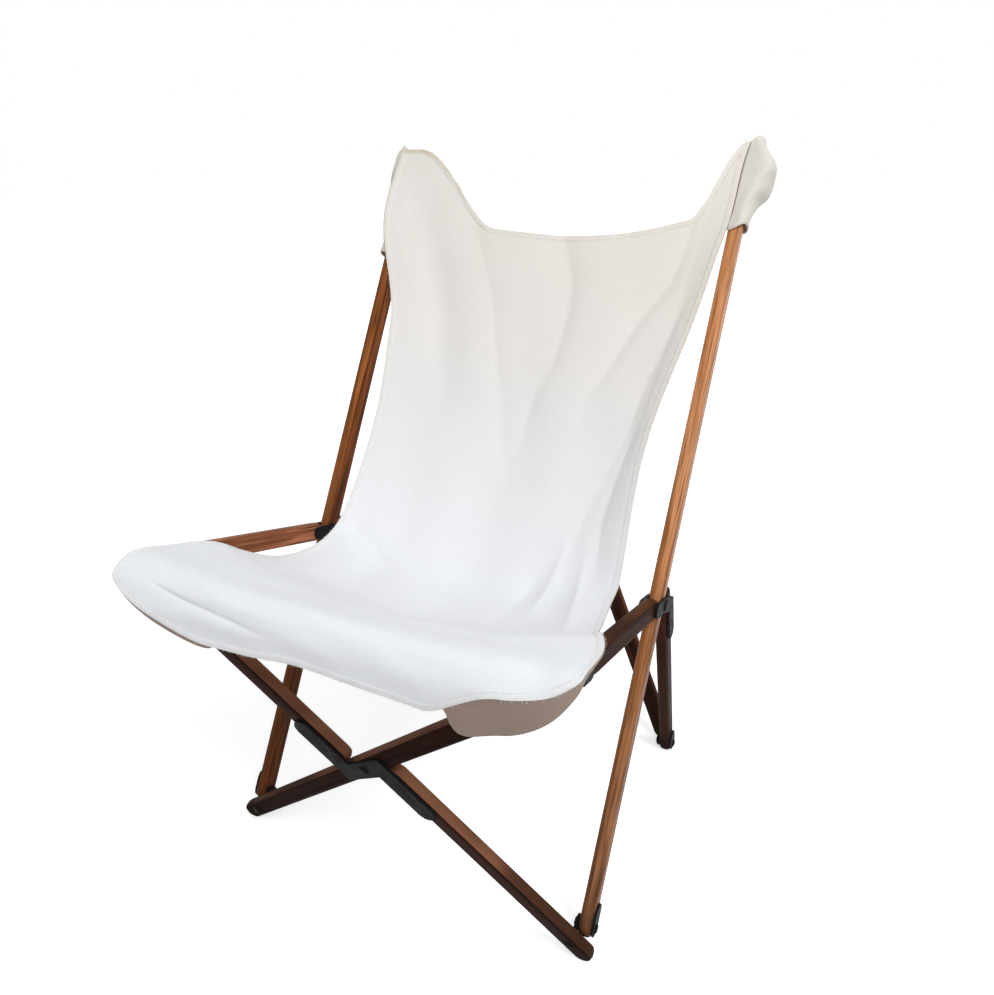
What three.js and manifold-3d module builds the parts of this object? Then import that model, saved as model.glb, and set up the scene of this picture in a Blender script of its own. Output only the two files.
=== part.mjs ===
// Folding timber sling chair: four crosses of flat bars make a cage, and a canvas sling hangs on its four tips.
// Millimetres, +Z up. The chair faces -Y and is symmetric about X = 0 but for the cranked halves of its crosses.
import * as THREE from "three";
import { mergeVertices } from "three/addons/utils/BufferGeometryUtils.js";
import Module from "manifold-3d";

// Whole chair, between its pivots
const PIVOT_WIDTH = 576; // between the middles of the side frames
const PIVOT_DEPTH = 682; // from the front tips back to the top tips
const PIVOT_HEIGHT = 985; // top tips above the floor

// Flat bars
const BAR_WIDTH = 30;
const BAR_THICK = 19;
const EDGE_ROUND = 6;
const TIP_WIDTH = 20; // seat rail narrowed at its front tip
const TIP_TAPER = 60;
const CRANK = 32; // a split bar's halves pass the crossing at this distance, so they fold beside the long bar
const SPLIT_END = 17; // the halves stop this far short of the crossing
const RAIL_CLEAR = 24; // the rail stops this far short of the side bar
const LEG_START = 20; // the rear leg starts this far below the crossing

// Side frame, as points (Y, Z) on its pivots; Y is measured from the front foot pivot
const TIP_REACH = 0.1437 * PIVOT_DEPTH; // front tip ahead of the front foot
const SIDE_PLANE_X = PIVOT_WIDTH / 2; // middle of each side frame
const FRONT_FOOT = new THREE.Vector2(0, 1.2 * BAR_WIDTH);
const FRONT_TIP = new THREE.Vector2(-TIP_REACH, 0.53604 * PIVOT_HEIGHT);
const TOP_TIP = new THREE.Vector2(PIVOT_DEPTH - TIP_REACH, PIVOT_HEIGHT);
const REAR_FOOT = new THREE.Vector2(0.63783 * PIVOT_DEPTH, BAR_WIDTH / 2);
const SIDE_CROSSING = 0.4086; // share of the side bar below its crossing

// Iron fittings
const GAP = 0.3; // running clearance
const STRAP_THICK = 4;
const STRAP_WIDTH = 22; // of a side strap
const CROSS_STRAP_WIDTH = 28; // covers nearly the whole face of a cross bar
const STRAP_REACH = 75; // along each half of a cross bar
const RAIL_REACH = 38; // side strap, from the crossing forward along the rail
const LEG_REACH = 104; // side strap, down along the rear leg
const RIVET_R = 4.7;
const RIVET_HEAD_R = 9;
const HOLE_R = 5;
const STAND_OFF = 26; // from the middle of a cross to the side frame's corner pivots
const EYE_R = 11;
const EYE_THICK = 5;
const LUG_WIDTH = 16;
const PIN_R = 4;
const PIN_HOLE_R = 4.3;
const PIN_HEAD_R = 7.5;
const PLATE_THICK = 3;
const PLATE_WIDTH = 24;
const PLATE_LENGTH = 22;
const REAR_CLEAR = 2.5; // the rear cross stops this far above the floor
const FOOT_WEAR = 0.8; // depth of the flat worn on each foot
const CORNER_X = SIDE_PLANE_X - BAR_THICK / 2 - GAP - EYE_THICK / 2;

// Canvas
const CANVAS_THICK = 2;
const FOLD_HEIGHT = 5; // soft lengthwise folds
const LAP_DROP = 3.5; // the back panel's lap below the seat panel
const HANG_TOP = 6; // hang of the middle behind and below the hem: least at the top edge
const HANG_SEAT = 62; // most where the seat meets the back
const HANG_FRONT = 18; // at the front edge
const LEFT_WRAP = 29; // the left hem runs on round the front of the side bar's top
const WRAP_LIFT = 8;
const LEFT_SAG = 10; // the left hem sags beside the seat
const RIGHT_TUCK = 17; // the right hem stops short at its top, where its pocket comes round to the front
const RIGHT_LOBE = 19; // the right hem runs out over the front of the rail
const RIGHT_WAIST = 15; // and is drawn in beside the back
const LOBE_LIFT = 9;
const POCKET_TOP = 32; // top pockets, above the top pivot
const LEFT_POCKET = { length: 165, slack: 9, taper: 1, closing: 0.3 }; // below the pivot, and the room round the bar at the mouth
const RIGHT_POCKET = { length: 112, slack: 4, taper: 1.8, closing: 0.9 };
const RIGHT_MOUTH_RISE = 13; // its mouth is higher on the outer side
const LEFT_SKIRT_LENGTH = 12; // front pockets, below their seam
const RIGHT_SKIRT_LENGTH = 50;
const SEAM_DROP = 2.7; // from the front edge to the pocket seam

const wood = new THREE.MeshStandardMaterial({ color: 0x7a4526, roughness: 0.42, metalness: 0 });
const darkWood = new THREE.MeshStandardMaterial({ color: 0x4a2a20, roughness: 0.45, metalness: 0 });
const iron = new THREE.MeshStandardMaterial({ color: 0x1f1f22, roughness: 0.55, metalness: 0.85 });
const canvas = new THREE.MeshStandardMaterial({ color: 0xece9e2, roughness: 0.95, metalness: 0 });
const pocketCanvas = new THREE.MeshStandardMaterial({ color: 0xd9d2c4, roughness: 0.95, metalness: 0 });

// Joins and cuts of solids
const kernel = await Module();
kernel.setup();
const solid = (geometry) => {
  const bare = new THREE.BufferGeometry().setAttribute("position", geometry.toNonIndexed().getAttribute("position"));
  const merged = mergeVertices(bare, 1e-3);
  return new kernel.Manifold(
    new kernel.Mesh({
      numProp: 3,
      vertProperties: merged.attributes.position.array,
      triVerts: new Uint32Array(merged.index.array),
    }),
  );
};
const surface = (body) => {
  const mesh = body.getMesh();
  const geometry = new THREE.BufferGeometry();
  geometry.setAttribute("position", new THREE.BufferAttribute(mesh.vertProperties, 3));
  geometry.setIndex(new THREE.BufferAttribute(mesh.triVerts, 1));
  geometry.computeVertexNormals();
  return geometry;
};
const indexed = (geometry) => (geometry.index ? geometry : mergeVertices(geometry, 1e-3));
const cut = (geometry, tools) =>
  surface(tools.reduce((body, tool) => body.subtract(solid(indexed(tool))), solid(indexed(geometry))));
const join = (pieces) =>
  surface(pieces.slice(1).reduce((body, piece) => body.add(solid(indexed(piece))), solid(indexed(pieces[0]))));

const part = new THREE.Group();
// Cuts a bar off level with the floor
const standOnFloor = (mesh) => {
  mesh.updateWorldMatrix(true, false);
  const size = 2 * PIVOT_HEIGHT;
  const ground = new THREE.BoxGeometry(size, size, size).translate(0, 0, -size / 2).applyMatrix4(mesh.matrixWorld.clone().invert());
  mesh.geometry = cut(mesh.geometry, [ground]);
};
const place = (parent, name, geometry, material, position, angle = 0) => {
  const mesh = new THREE.Mesh(geometry, material);
  mesh.name = name;
  mesh.position.copy(position);
  mesh.rotation.z = angle;
  parent.add(mesh);
  return mesh;
};

// A flat bar lying along +X from its first pivot at the origin; each end is a half round of the given width past its pivot
const barGeometry = (length, { before = 0, after = 0, endWidth = BAR_WIDTH, holes = [] }) => {
  const half = BAR_WIDTH / 2;
  const end = endWidth / 2;
  const outline = new THREE.Shape();
  outline.absarc(-before, 0, half, Math.PI / 2, (3 * Math.PI) / 2, false);
  if (end < half) outline.lineTo(length - TIP_TAPER, -half);
  outline.absarc(length + after, 0, end, -Math.PI / 2, Math.PI / 2, false);
  if (end < half) outline.lineTo(length - TIP_TAPER, half);
  const body = new THREE.ExtrudeGeometry(outline, {
    depth: BAR_THICK - 2 * EDGE_ROUND,
    bevelThickness: EDGE_ROUND,
    bevelSize: EDGE_ROUND,
    bevelOffset: -EDGE_ROUND,
    bevelSegments: 2,
    curveSegments: 5,
  }).translate(0, 0, EDGE_ROUND - BAR_THICK / 2);
  return cut(
    body,
    holes.map(({ at, r }) => new THREE.CylinderGeometry(r, r, BAR_THICK + 2, 12).rotateX(Math.PI / 2).translate(at, 0, 0)),
  );
};

// A flat strap that follows a line of points, with half-round ends and holes
const strapGeometry = (line, width, thick, holes) => {
  const half = width / 2;
  const left = [];
  const right = [];
  line.forEach((p, k) => {
    const back = line[Math.max(k - 1, 0)];
    const ahead = line[Math.min(k + 1, line.length - 1)];
    const a = k ? p.clone().sub(back).normalize() : ahead.clone().sub(p).normalize();
    const b = k < line.length - 1 ? ahead.clone().sub(p).normalize() : a;
    const along = a.clone().add(b).normalize();
    const across = new THREE.Vector2(-along.y, along.x).multiplyScalar(half / Math.max(0.5, along.dot(a)));
    left.push(p.clone().add(across));
    right.unshift(p.clone().sub(across));
  });
  const last = line[line.length - 1];
  const endAngle = left[left.length - 1].clone().sub(last).angle();
  const startAngle = right[right.length - 1].clone().sub(line[0]).angle();
  const cap = (centre, from) =>
    [1, 2, 3, 4].map((k) => centre.clone().add(new THREE.Vector2(half, 0).rotateAround(new THREE.Vector2(), from - (k * Math.PI) / 5)));
  const outline = new THREE.Shape([...left, ...cap(last, endAngle), ...right, ...cap(line[0], startAngle)]);
  for (const { at, r } of holes) outline.holes.push(new THREE.Path().absarc(at.x, at.y, r, 0, 2 * Math.PI, false));
  return new THREE.ExtrudeGeometry(outline, { depth: thick, bevelEnabled: false, curveSegments: 6 }).translate(0, 0, -thick / 2);
};

// A turned pin along Z from one level to another, with a domed head past each end that has one
const pinGeometry = (r, headR, low, high, { lowHead = true, highHead = true, dome = 2.8 } = {}) => {
  const head = (level, sign) => [
    new THREE.Vector2(headR, level),
    new THREE.Vector2(headR * 0.72, level + sign * dome * 0.75),
    new THREE.Vector2(0, level + sign * dome),
  ];
  const bottom = lowHead ? [...head(low, -1).reverse(), new THREE.Vector2(r, low)] : [new THREE.Vector2(0, low), new THREE.Vector2(r, low)];
  const top = highHead ? [new THREE.Vector2(r, high), ...head(high, 1)] : [new THREE.Vector2(r, high), new THREE.Vector2(0, high)];
  return new THREE.LatheGeometry([...bottom, ...top], 12).rotateX(Math.PI / 2);
};

// Directions of the side frame, as (Y, Z)
const turn = (v) => new THREE.Vector2(-v.y, v.x);
const crossing = FRONT_FOOT.clone().lerp(TOP_TIP, SIDE_CROSSING);
const along = (from, to) => to.clone().sub(from).normalize();
const barUp = along(FRONT_FOOT, TOP_TIP);
const railOut = along(crossing, FRONT_TIP);
const rivetStrap = BAR_THICK / 2 + STRAP_THICK + 2 * GAP; // level of a crossing rivet's head over a strap
const rivetBare = BAR_THICK / 2 + GAP; // and over a bare bar

// One side frame in the plane of (Y, Z), with its outer face on the side that sign points to
const sideFrame = (side, sign) => {
  const frame = new THREE.Group();
  frame.setRotationFromMatrix(
    new THREE.Matrix4().makeBasis(new THREE.Vector3(0, 1, 0), new THREE.Vector3(0, 0, 1), new THREE.Vector3(1, 0, 0)),
  );
  frame.position.x = sign * SIDE_PLANE_X;
  part.add(frame);
  const flat = (p, z = 0) => new THREE.Vector3(p.x, p.y, z);

  const sideLength = FRONT_FOOT.distanceTo(TOP_TIP);
  place(
    frame,
    `${side}_side_bar`,
    barGeometry(sideLength, {
      holes: [
        { at: 0, r: PIN_HOLE_R },
        { at: sideLength * SIDE_CROSSING, r: HOLE_R },
        { at: sideLength, r: PIN_HOLE_R },
      ],
    }),
    wood,
    flat(FRONT_FOOT),
    barUp.angle(),
  );

  // The rail points at the crossing and stops clear of the side bar through the whole fold
  const railStart = BAR_WIDTH / 2 + RAIL_CLEAR;
  const railLength = crossing.distanceTo(FRONT_TIP) - railStart;
  place(
    frame,
    `${side}_seat_rail`,
    barGeometry(railLength, { endWidth: TIP_WIDTH, holes: [{ at: railLength, r: PIN_HOLE_R }] }),
    wood,
    flat(crossing.clone().addScaledVector(railOut, railStart)),
    railOut.angle(),
  );

  // The rear leg passes behind the crossing by the crank, so it folds beside the side bar
  const legChord = REAR_FOOT.clone().sub(crossing);
  const legDown = legChord.clone().normalize().rotateAround(new THREE.Vector2(), -Math.asin(CRANK / legChord.length()));
  const legLength = Math.sqrt(legChord.lengthSq() - CRANK * CRANK);
  const legTop = REAR_FOOT.clone().addScaledVector(legDown, -legLength);
  standOnFloor(
    place(
      frame,
      `${side}_rear_leg`,
      barGeometry(legLength - LEG_START, { after: FOOT_WEAR, holes: [{ at: legLength - LEG_START, r: PIN_HOLE_R }] }),
      darkWood,
      flat(legTop.clone().addScaledVector(legDown, LEG_START)),
      legDown.angle(),
    ),
  );

  const strapLine = [
    crossing.clone().addScaledVector(railOut, RAIL_REACH),
    crossing.clone(),
    legTop.clone().addScaledVector(legDown, LEG_REACH / 3),
    legTop.clone().addScaledVector(legDown, LEG_REACH),
  ];
  const strap = () => strapGeometry(strapLine, STRAP_WIDTH, STRAP_THICK, [{ at: crossing, r: HOLE_R }]);
  const strapLevel = BAR_THICK / 2 + GAP + STRAP_THICK / 2;
  place(frame, `${side}_strap_outer`, strap(), iron, new THREE.Vector3(0, 0, sign * strapLevel));
  place(frame, `${side}_strap_inner`, strap(), iron, new THREE.Vector3(0, 0, -sign * strapLevel));
  place(frame, `${side}_crossing_rivet`, pinGeometry(RIVET_R, RIVET_HEAD_R, -rivetStrap, rivetStrap), iron, flat(crossing));

  // Each bar end has an iron plate on its outer face and a pin; the pins of the open corners stop at the inner face
  const inner = BAR_THICK / 2 + EYE_THICK + 2 * GAP;
  const outer = BAR_THICK / 2 + PLATE_THICK + 2 * GAP;
  const corner = (name, at, toward, closed) => {
    const reach = at.clone().addScaledVector(toward, PLATE_LENGTH);
    place(
      frame,
      `${side}_${name}_plate`,
      strapGeometry([at, reach], name === "front_tip" ? TIP_WIDTH - 2 : PLATE_WIDTH, PLATE_THICK, [{ at, r: PIN_HOLE_R }]),
      iron,
      new THREE.Vector3(0, 0, sign * (BAR_THICK / 2 + GAP + PLATE_THICK / 2)),
    );
    const pin = pinGeometry(PIN_R, PIN_HEAD_R, closed ? -inner : 0.5 - BAR_THICK / 2, outer, { lowHead: closed });
    place(frame, `${side}_${name}_pin`, sign > 0 ? pin : pin.rotateX(Math.PI), iron, flat(at));
  };
  corner("front_foot", FRONT_FOOT, barUp, true);
  corner("top", TOP_TIP, barUp.clone().negate(), sign > 0);
  corner("front_tip", FRONT_TIP, railOut.clone().negate(), false);
  corner("rear_foot", REAR_FOOT, legDown.clone().negate(), false);
};

// A cross of one long bar and one cranked bar in its own plane: X across, Y up the cross, Z forward.
// The side pivots lie at z = pivotSide * STAND_OFF; openAt names the corners whose pin is left out.
const crossFrame = (name, low, high, pivotSide, { foot, openAt, handed }) => {
  const frame = new THREE.Group();
  const up = along(low, high);
  const forward = turn(up);
  const middle = low.clone().add(high).multiplyScalar(0.5).addScaledVector(forward, -pivotSide * STAND_OFF);
  frame.position.set(0, middle.x, middle.y);
  frame.rotation.x = up.angle();
  part.add(frame);
  const tall = low.distanceTo(high) / 2;
  const reach = Math.hypot(CORNER_X, tall);

  // Length of a bar past its lower eye bolt: down to the floor at the front, short of it at the rear
  const lowZ = middle.y - up.y * tall;
  const past = (direction) => (lowZ - BAR_WIDTH / 2 + (foot ? FOOT_WEAR : -REAR_CLEAR)) / Math.abs(up.y * direction.y);

  // The long bar rises to the side that handed points to
  const rise = new THREE.Vector2(handed * CORNER_X, tall);
  const longBar = place(
    frame,
    `${name}_cross_bar`,
    barGeometry(2 * reach, {
      before: past(rise.clone().normalize()),
      holes: [
        { at: 0, r: PIN_HOLE_R },
        { at: reach, r: HOLE_R },
        { at: 2 * reach, r: PIN_HOLE_R },
      ],
    }),
    name === "front" ? wood : darkWood,
    new THREE.Vector3(-rise.x, -rise.y, 0),
    rise.angle(),
  );

  // The halves lie parallel, one on each side of the crossing
  const halfLength = Math.sqrt(reach * reach - CRANK * CRANK);
  const lean = Math.asin(CRANK / reach) * handed;
  const topCorner = new THREE.Vector2(-rise.x, rise.y);
  const inward = topCorner.clone().negate().normalize().rotateAround(new THREE.Vector2(), -lean);
  const halfBar = (which, corner, direction, before) =>
    place(
      frame,
      `${name}_cross_${which}`,
      barGeometry(halfLength - SPLIT_END - BAR_WIDTH / 2, { before, holes: [{ at: 0, r: PIN_HOLE_R }] }),
      name === "front" ? wood : darkWood,
      new THREE.Vector3(corner.x, corner.y, 0),
      direction.angle(),
    );
  halfBar("upper", topCorner, inward, 0);
  const lowHalf = halfBar("lower", topCorner.clone().negate(), inward.clone().negate(), past(inward));
  if (foot) [longBar, lowHalf].forEach(standOnFloor);

  const near = topCorner.clone().addScaledVector(inward, halfLength - 6);
  const far = topCorner.clone().addScaledVector(inward, halfLength - SPLIT_END - STRAP_REACH);
  // One strap on the outer face
  const level = BAR_THICK / 2 + GAP + STRAP_THICK / 2;
  const strapLine = [far, near, near.clone().negate(), far.clone().negate()];
  const strap = strapGeometry(strapLine, CROSS_STRAP_WIDTH, STRAP_THICK, [{ at: new THREE.Vector2(), r: HOLE_R }]);
  place(frame, `${name}_strap`, strap, iron, new THREE.Vector3(0, 0, -pivotSide * level));
  const rivet = pinGeometry(RIVET_R, RIVET_HEAD_R, -rivetBare, rivetStrap);
  place(frame, `${name}_crossing_rivet`, pivotSide < 0 ? rivet : rivet.rotateX(Math.PI), iron, new THREE.Vector3());

  // Swivel eye bolts: a headed shank through the cross bar and a flat eye beside the end of the side bar
  for (const side of ["left", "right"])
    for (const end of ["low", "high"]) {
      const sign = side === "right" ? 1 : -1;
      const where = { front: { low: "front_foot", high: "front_tip" }, rear: { low: "rear_foot", high: "top" } }[name][end];
      const open = openAt.includes(`${side}_${where}`);
      const face = BAR_THICK / 2 + GAP;
      const shank = pinGeometry(PIN_R, PIN_HEAD_R, -face - GAP, face, { lowHead: false });
      if (pivotSide > 0) shank.rotateX(Math.PI);
      const level = pivotSide * STAND_OFF;
      const lug = new THREE.BoxGeometry(EYE_THICK, LUG_WIDTH, STAND_OFF - face).translate(0, 0, (pivotSide * (STAND_OFF + face)) / 2);
      const disc = (r, thick, facets, x = 0) => new THREE.CylinderGeometry(r, r, thick, facets).rotateZ(Math.PI / 2).translate(x, 0, level);
      const eye = join([shank, lug, disc(EYE_R, EYE_THICK, 16)]);
      const bolt = open
        ? join([eye, disc(PIN_HEAD_R, EYE_THICK, 12, (-sign * EYE_THICK) / 2)])
        : cut(eye, [disc(PIN_HOLE_R, 2 * EYE_THICK, 12)]);
      place(frame, `${side}_${where}_eye_bolt`, bolt, iron, new THREE.Vector3(sign * CORNER_X, end === "low" ? -tall : tall, 0));
    }
};

// A sheet of cloth as a closed solid: at(u, v) is its middle surface
const sheetGeometry = (at, across, lengthwise, thick) => {
  const step = 1e-3;
  const faces = [1, -1].map((sign) => {
    const points = [];
    for (let k = 0; k <= lengthwise; k++)
      for (let i = 0; i <= across; i++) {
        const u = i / across;
        const v = k / lengthwise;
        const p = at(u, v);
        const du = at(Math.min(u + step, 1), v).sub(at(Math.max(u - step, 0), v));
        const dv = at(u, Math.min(v + step, 1)).sub(at(u, Math.max(v - step, 0)));
        points.push(p.addScaledVector(du.cross(dv).normalize(), (sign * thick) / 2));
      }
    return points;
  });
  const count = faces[0].length;
  const row = across + 1;
  const index = [];
  const quad = (a, b, c, d) => index.push(a, b, c, a, c, d);
  for (let k = 0; k < lengthwise; k++)
    for (let i = 0; i < across; i++) {
      const a = k * row + i;
      quad(a, a + 1, a + row + 1, a + row);
      quad(count + a, count + a + row, count + a + row + 1, count + a + 1);
    }
  const rim = [];
  for (let i = 0; i < across; i++) rim.push(i);
  for (let k = 0; k < lengthwise; k++) rim.push(k * row + across);
  for (let i = across; i > 0; i--) rim.push(lengthwise * row + i);
  for (let k = lengthwise; k > 0; k--) rim.push(k * row);
  rim.forEach((a, n) => {
    const b = rim[(n + 1) % rim.length];
    quad(a, a + count, b + count, b);
  });
  const geometry = new THREE.BufferGeometry().setFromPoints([...faces[0], ...faces[1]]);
  geometry.setIndex(index);
  geometry.computeVertexNormals();
  return geometry;
};

// The hem of the sling on the right, at stations down the side bar and out along the rail.
// Each station has its share of the way to the tip, its distance from the bar's middle line in bar widths, and its half width as a share of the side frame's.
const barFront = turn(barUp);
const railTop = turn(railOut).negate();
const station = (tip, off) => (share, widths, spread) => {
  const p = crossing.clone().lerp(tip, share).addScaledVector(off, widths * BAR_WIDTH);
  return new THREE.Vector3(spread * SIDE_PLANE_X, p.x, p.y);
};
const onBar = station(TOP_TIP, barFront);
const onRail = station(FRONT_TIP, railTop);
const TOP_SHARE = 1.031;
const NEXT_SHARE = 0.8;
const hem = new THREE.CatmullRomCurve3([
  onBar(TOP_SHARE, 0.62, 1.052),
  onBar(NEXT_SHARE, 0.507, 0.9514),
  onBar(0.55, 0.3, 0.882),
  onBar(0.3, 0.3, 0.8368),
  onBar(0.03, 1.333, 0.8368),
  onRail(0.2, 0.133, 0.8403),
  onRail(0.42, -0.3, 0.882),
  onRail(0.64, 0.033, 0.9271),
  onRail(0.8, 0.567, 0.9583),
  onRail(0.93, 0.533, 1.0069),
  onRail(1.09, 0.377, 1.0521),
  onRail(1.148, -0.4, 1.0694),
  onRail(1.152, -1.5, 1.0625),
  onRail(1.118, -2.8, 1.0382),
]);
// Places along the hem are counted in stations from the top
const STATIONS = hem.points.length - 1;
const BIGHT = 4.4 / STATIONS; // where the seat meets the back
const LAP = 1.1 / STATIONS; // the back panel runs on under the seat panel
const TOP_DIP = 0.92 / STATIONS; // the top edge hangs below the pockets
const TOP_LOW = 0.18; // and is lowest a little right of the middle
const FRONT_MIDDLE = 12.78 / STATIONS;
const FRONT_LEFT = { lobe: 12.95 / STATIONS, corner: 11.1 / STATIONS, round: 0.55 };
const FRONT_RIGHT = { lobe: 11.5 / STATIONS, corner: 10.1 / STATIONS, round: 0.7 };
const { lerp, smoothstep } = THREE.MathUtils;
const hang = (s) => (s < BIGHT ? lerp(HANG_TOP, HANG_SEAT, s / BIGHT) : lerp(HANG_SEAT, HANG_FRONT, smoothstep(s, BIGHT, 0.8)));
const hump = (k, from, to) => (k > from && k < to ? Math.sin((Math.PI * (k - from)) / (to - from)) ** 2 : 0);
// Where each hem leaves the common line: outward, and forward or up
const wander = (k, side) =>
  side < 0
    ? { out: -LEFT_WRAP * hump(k, -0.25, 1.95), lift: WRAP_LIFT * hump(k, -0.25, 1.95) - LEFT_SAG * hump(k, 4.4, 7.6) }
    : {
        out: RIGHT_LOBE * hump(k, 6.6, 10.6) - RIGHT_WAIST * hump(k, 1.4, 4.3) - RIGHT_TUCK * hump(k, -0.9, 0.9),
        lift: LOBE_LIFT * hump(k, 6.2, 10.4),
      };
const sling = (s, t) => {
  const p = hem.getPoint(s);
  const d = hem.getTangent(s);
  const back = new THREE.Vector2(-d.z, d.y).normalize();
  const folds = FOLD_HEIGHT * Math.cos(3 * Math.PI * t) * (1 - t * t) * Math.sin(Math.PI * Math.min(1, s / (2 * BIGHT)));
  const { out, lift } = wander(s * STATIONS, t);
  const depth = hang(s) * (1 - t * t) + folds - lift * t ** 4;
  return new THREE.Vector3(p.x * t + out * t ** 4, p.y + back.x * depth, p.z + back.y * depth);
};
// The seam of the two panels lies further forward at the hems, where the cloth is further from the fold
const seamAt = (t) => BIGHT + (0.35 / STATIONS) * t * t;
// The top edge sags a little, climbs to the left pocket in a long slope and to the right one in a short steep one
const topEdge = (t) => {
  const off = t - TOP_LOW;
  return off < 0
    ? TOP_DIP * (1 - 0.18 * off * off) * (1 - smoothstep(-t, 0.36, 0.88))
    : TOP_DIP * (1 - 0.485 * off * off) * (1 - smoothstep(t, 0.82, 1));
};
// The front edge hangs lower round the left tip than round the right one, and each lobe has a round corner
const frontEdge = (t) => {
  const end = t < 0 ? FRONT_LEFT : FRONT_RIGHT;
  const lobe = lerp(FRONT_MIDDLE, end.lobe, t < 0 ? smoothstep(-t, 0.1, 0.4) : smoothstep(t, 0.45, 0.75));
  const round = Math.max(0, (Math.abs(t) - end.round) / (1 - end.round));
  return lerp(end.corner, lobe, Math.max(0, 1 - round ** 1.7) ** 0.7);
};
const normalAt = (s, t) => {
  const e = 1e-3;
  const du = sling(s, t + e).sub(sling(s, t - e));
  const dv = sling(Math.min(s + e, 1), t).sub(sling(Math.max(s - e, 0), t));
  return du.cross(dv).normalize();
};
// Columns of a panel crowd towards its hems
const column = (u) => Math.sign(u - 0.5) * (1 - (1 - Math.abs(2 * u - 1)) ** 1.6);
const panels = () => {
  const home = new THREE.Vector3();
  // The back panel runs on under the seat panel
  const under = (u, v) => {
    const t = column(u);
    const seam = seamAt(t);
    const s = lerp(topEdge(t), seam + LAP, v);
    const below = LAP_DROP * smoothstep(s, seam - 0.05, seam - 0.012);
    return sling(s, t).addScaledVector(normalAt(s, t), below);
  };
  const over = (u, v) => {
    const t = column(u);
    return sling(lerp(seamAt(t), frontEdge(t), v), t);
  };
  place(part, "sling_back", sheetGeometry(under, 18, 20, CANVAS_THICK), canvas, home);
  place(part, "sling_seat", sheetGeometry(over, 18, 20, CANVAS_THICK), canvas, home);

  for (const [side, sign, pocket, mouthRise, skirtLength] of [
    ["left", -1, LEFT_POCKET, 0, LEFT_SKIRT_LENGTH],
    ["right", 1, RIGHT_POCKET, RIGHT_MOUTH_RISE, RIGHT_SKIRT_LENGTH],
  ]) {
    // Top pocket: a sleeve round the outer side and back of the tip, sewn to the hem in front and gathered at its top.
    // Its heights and sections are in bar widths.
    const mouth = -pocket.length / BAR_WIDTH;
    const slack = pocket.slack / BAR_WIDTH;
    const top = POCKET_TOP / BAR_WIDTH;
    const sleeve = (u, v) => {
      const level = lerp(mouth + (mouthRise / BAR_WIDTH) * smoothstep(u, 0, 0.4), top, v);
      const fill = (from, to) => smoothstep(level, from, to) ** pocket.taper;
      const deep = lerp(0.6 + slack / 3, 1.6, fill(Math.max(mouth, -4.17), -0.667)) - 0.467 * smoothstep(level, 0.467, 1.2);
      const share = 1 + (level * BAR_WIDTH) / TOP_TIP.distanceTo(crossing);
      const seam = sling(Math.max(0, (TOP_SHARE - share) / (TOP_SHARE - NEXT_SHARE)) / STATIONS, sign);
      const fromTip = new THREE.Vector2(seam.y, seam.z).sub(TOP_TIP);
      const front = fromTip.dot(barFront) / BAR_WIDTH;
      const edge = Math.abs(seam.x) / BAR_WIDTH;
      const swell = lerp(slack, 0.8, fill(mouth, -0.333)) - 0.267 * smoothstep(level, 0.333, 1.2);
      const outer = (SIDE_PLANE_X + BAR_THICK / 2) / BAR_WIDTH;
      const gathered = lerp(outer + swell, outer + 0.1, pocket.closing * smoothstep(level, 0.5, top));
      const wide = Math.max(gathered, edge + 0.22);
      const inside = SIDE_PLANE_X / BAR_WIDTH - 0.267 - 0.6 * smoothstep(level, -0.833, 0.167);
      const section = new THREE.CatmullRomCurve3([
        new THREE.Vector3(edge + 0.09, -front, 0),
        new THREE.Vector3(wide - 0.2, -0.633, 0),
        new THREE.Vector3(wide + 0.033, -0.267, 0),
        new THREE.Vector3(wide + 0.033, deep * 0.5, 0),
        new THREE.Vector3(wide - 0.133, deep * 0.94, 0),
        new THREE.Vector3(inside, deep, 0),
      ])
        .getPoint(u)
        .multiplyScalar(BAR_WIDTH);
      const height = lerp(level * BAR_WIDTH, fromTip.dot(barUp), (1 - u) ** 6);
      const p = TOP_TIP.clone().addScaledVector(barUp, height).addScaledVector(barFront, -section.y);
      return new THREE.Vector3(sign * section.x, p.x, p.y);
    };
    place(
      part,
      `${side}_top_pocket`,
      sheetGeometry(sign > 0 ? sleeve : (u, v) => sleeve(1 - u, v), 14, 13, CANVAS_THICK),
      pocketCanvas,
      home,
    );

    // Front pocket: a skirt under the lobe, from the front edge round the corner to the side hem
    const skirt = (u, v) => {
      const corner = 0.75;
      const t = sign * (u < corner ? lerp(0.55, 1, Math.sin((u / corner) * (Math.PI / 2))) : 1);
      const turned = (sign > 0 ? FRONT_RIGHT : FRONT_LEFT).corner;
      const s = u < corner ? frontEdge(t) : turned - (1.3 / STATIONS) * ((u - corner) / (1 - corner));
      const edge = sling(s, t);
      const drop = SEAM_DROP + skirtLength * v * Math.sin(Math.PI * u ** 0.36) ** 1.5;
      const out = sign * 1.5 * CANVAS_THICK * u * (1 - v);
      const set = CANVAS_THICK * (3 * v * v - 0.5) * (1 - u);
      return new THREE.Vector3(edge.x + out, edge.y + set, edge.z - drop);
    };
    place(
      part,
      `${side}_front_pocket`,
      sheetGeometry(sign > 0 ? skirt : (u, v) => skirt(1 - u, v), 16, 4, CANVAS_THICK),
      pocketCanvas,
      home,
    );
  }
};

sideFrame("left", -1);
sideFrame("right", 1);
crossFrame("front", FRONT_FOOT, FRONT_TIP, -1, { foot: true, openAt: ["left_front_tip", "right_front_tip"], handed: 1 });
crossFrame("rear", REAR_FOOT, TOP_TIP, 1, { foot: false, openAt: ["left_rear_foot", "right_rear_foot", "left_top"], handed: 1 });
panels();

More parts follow.
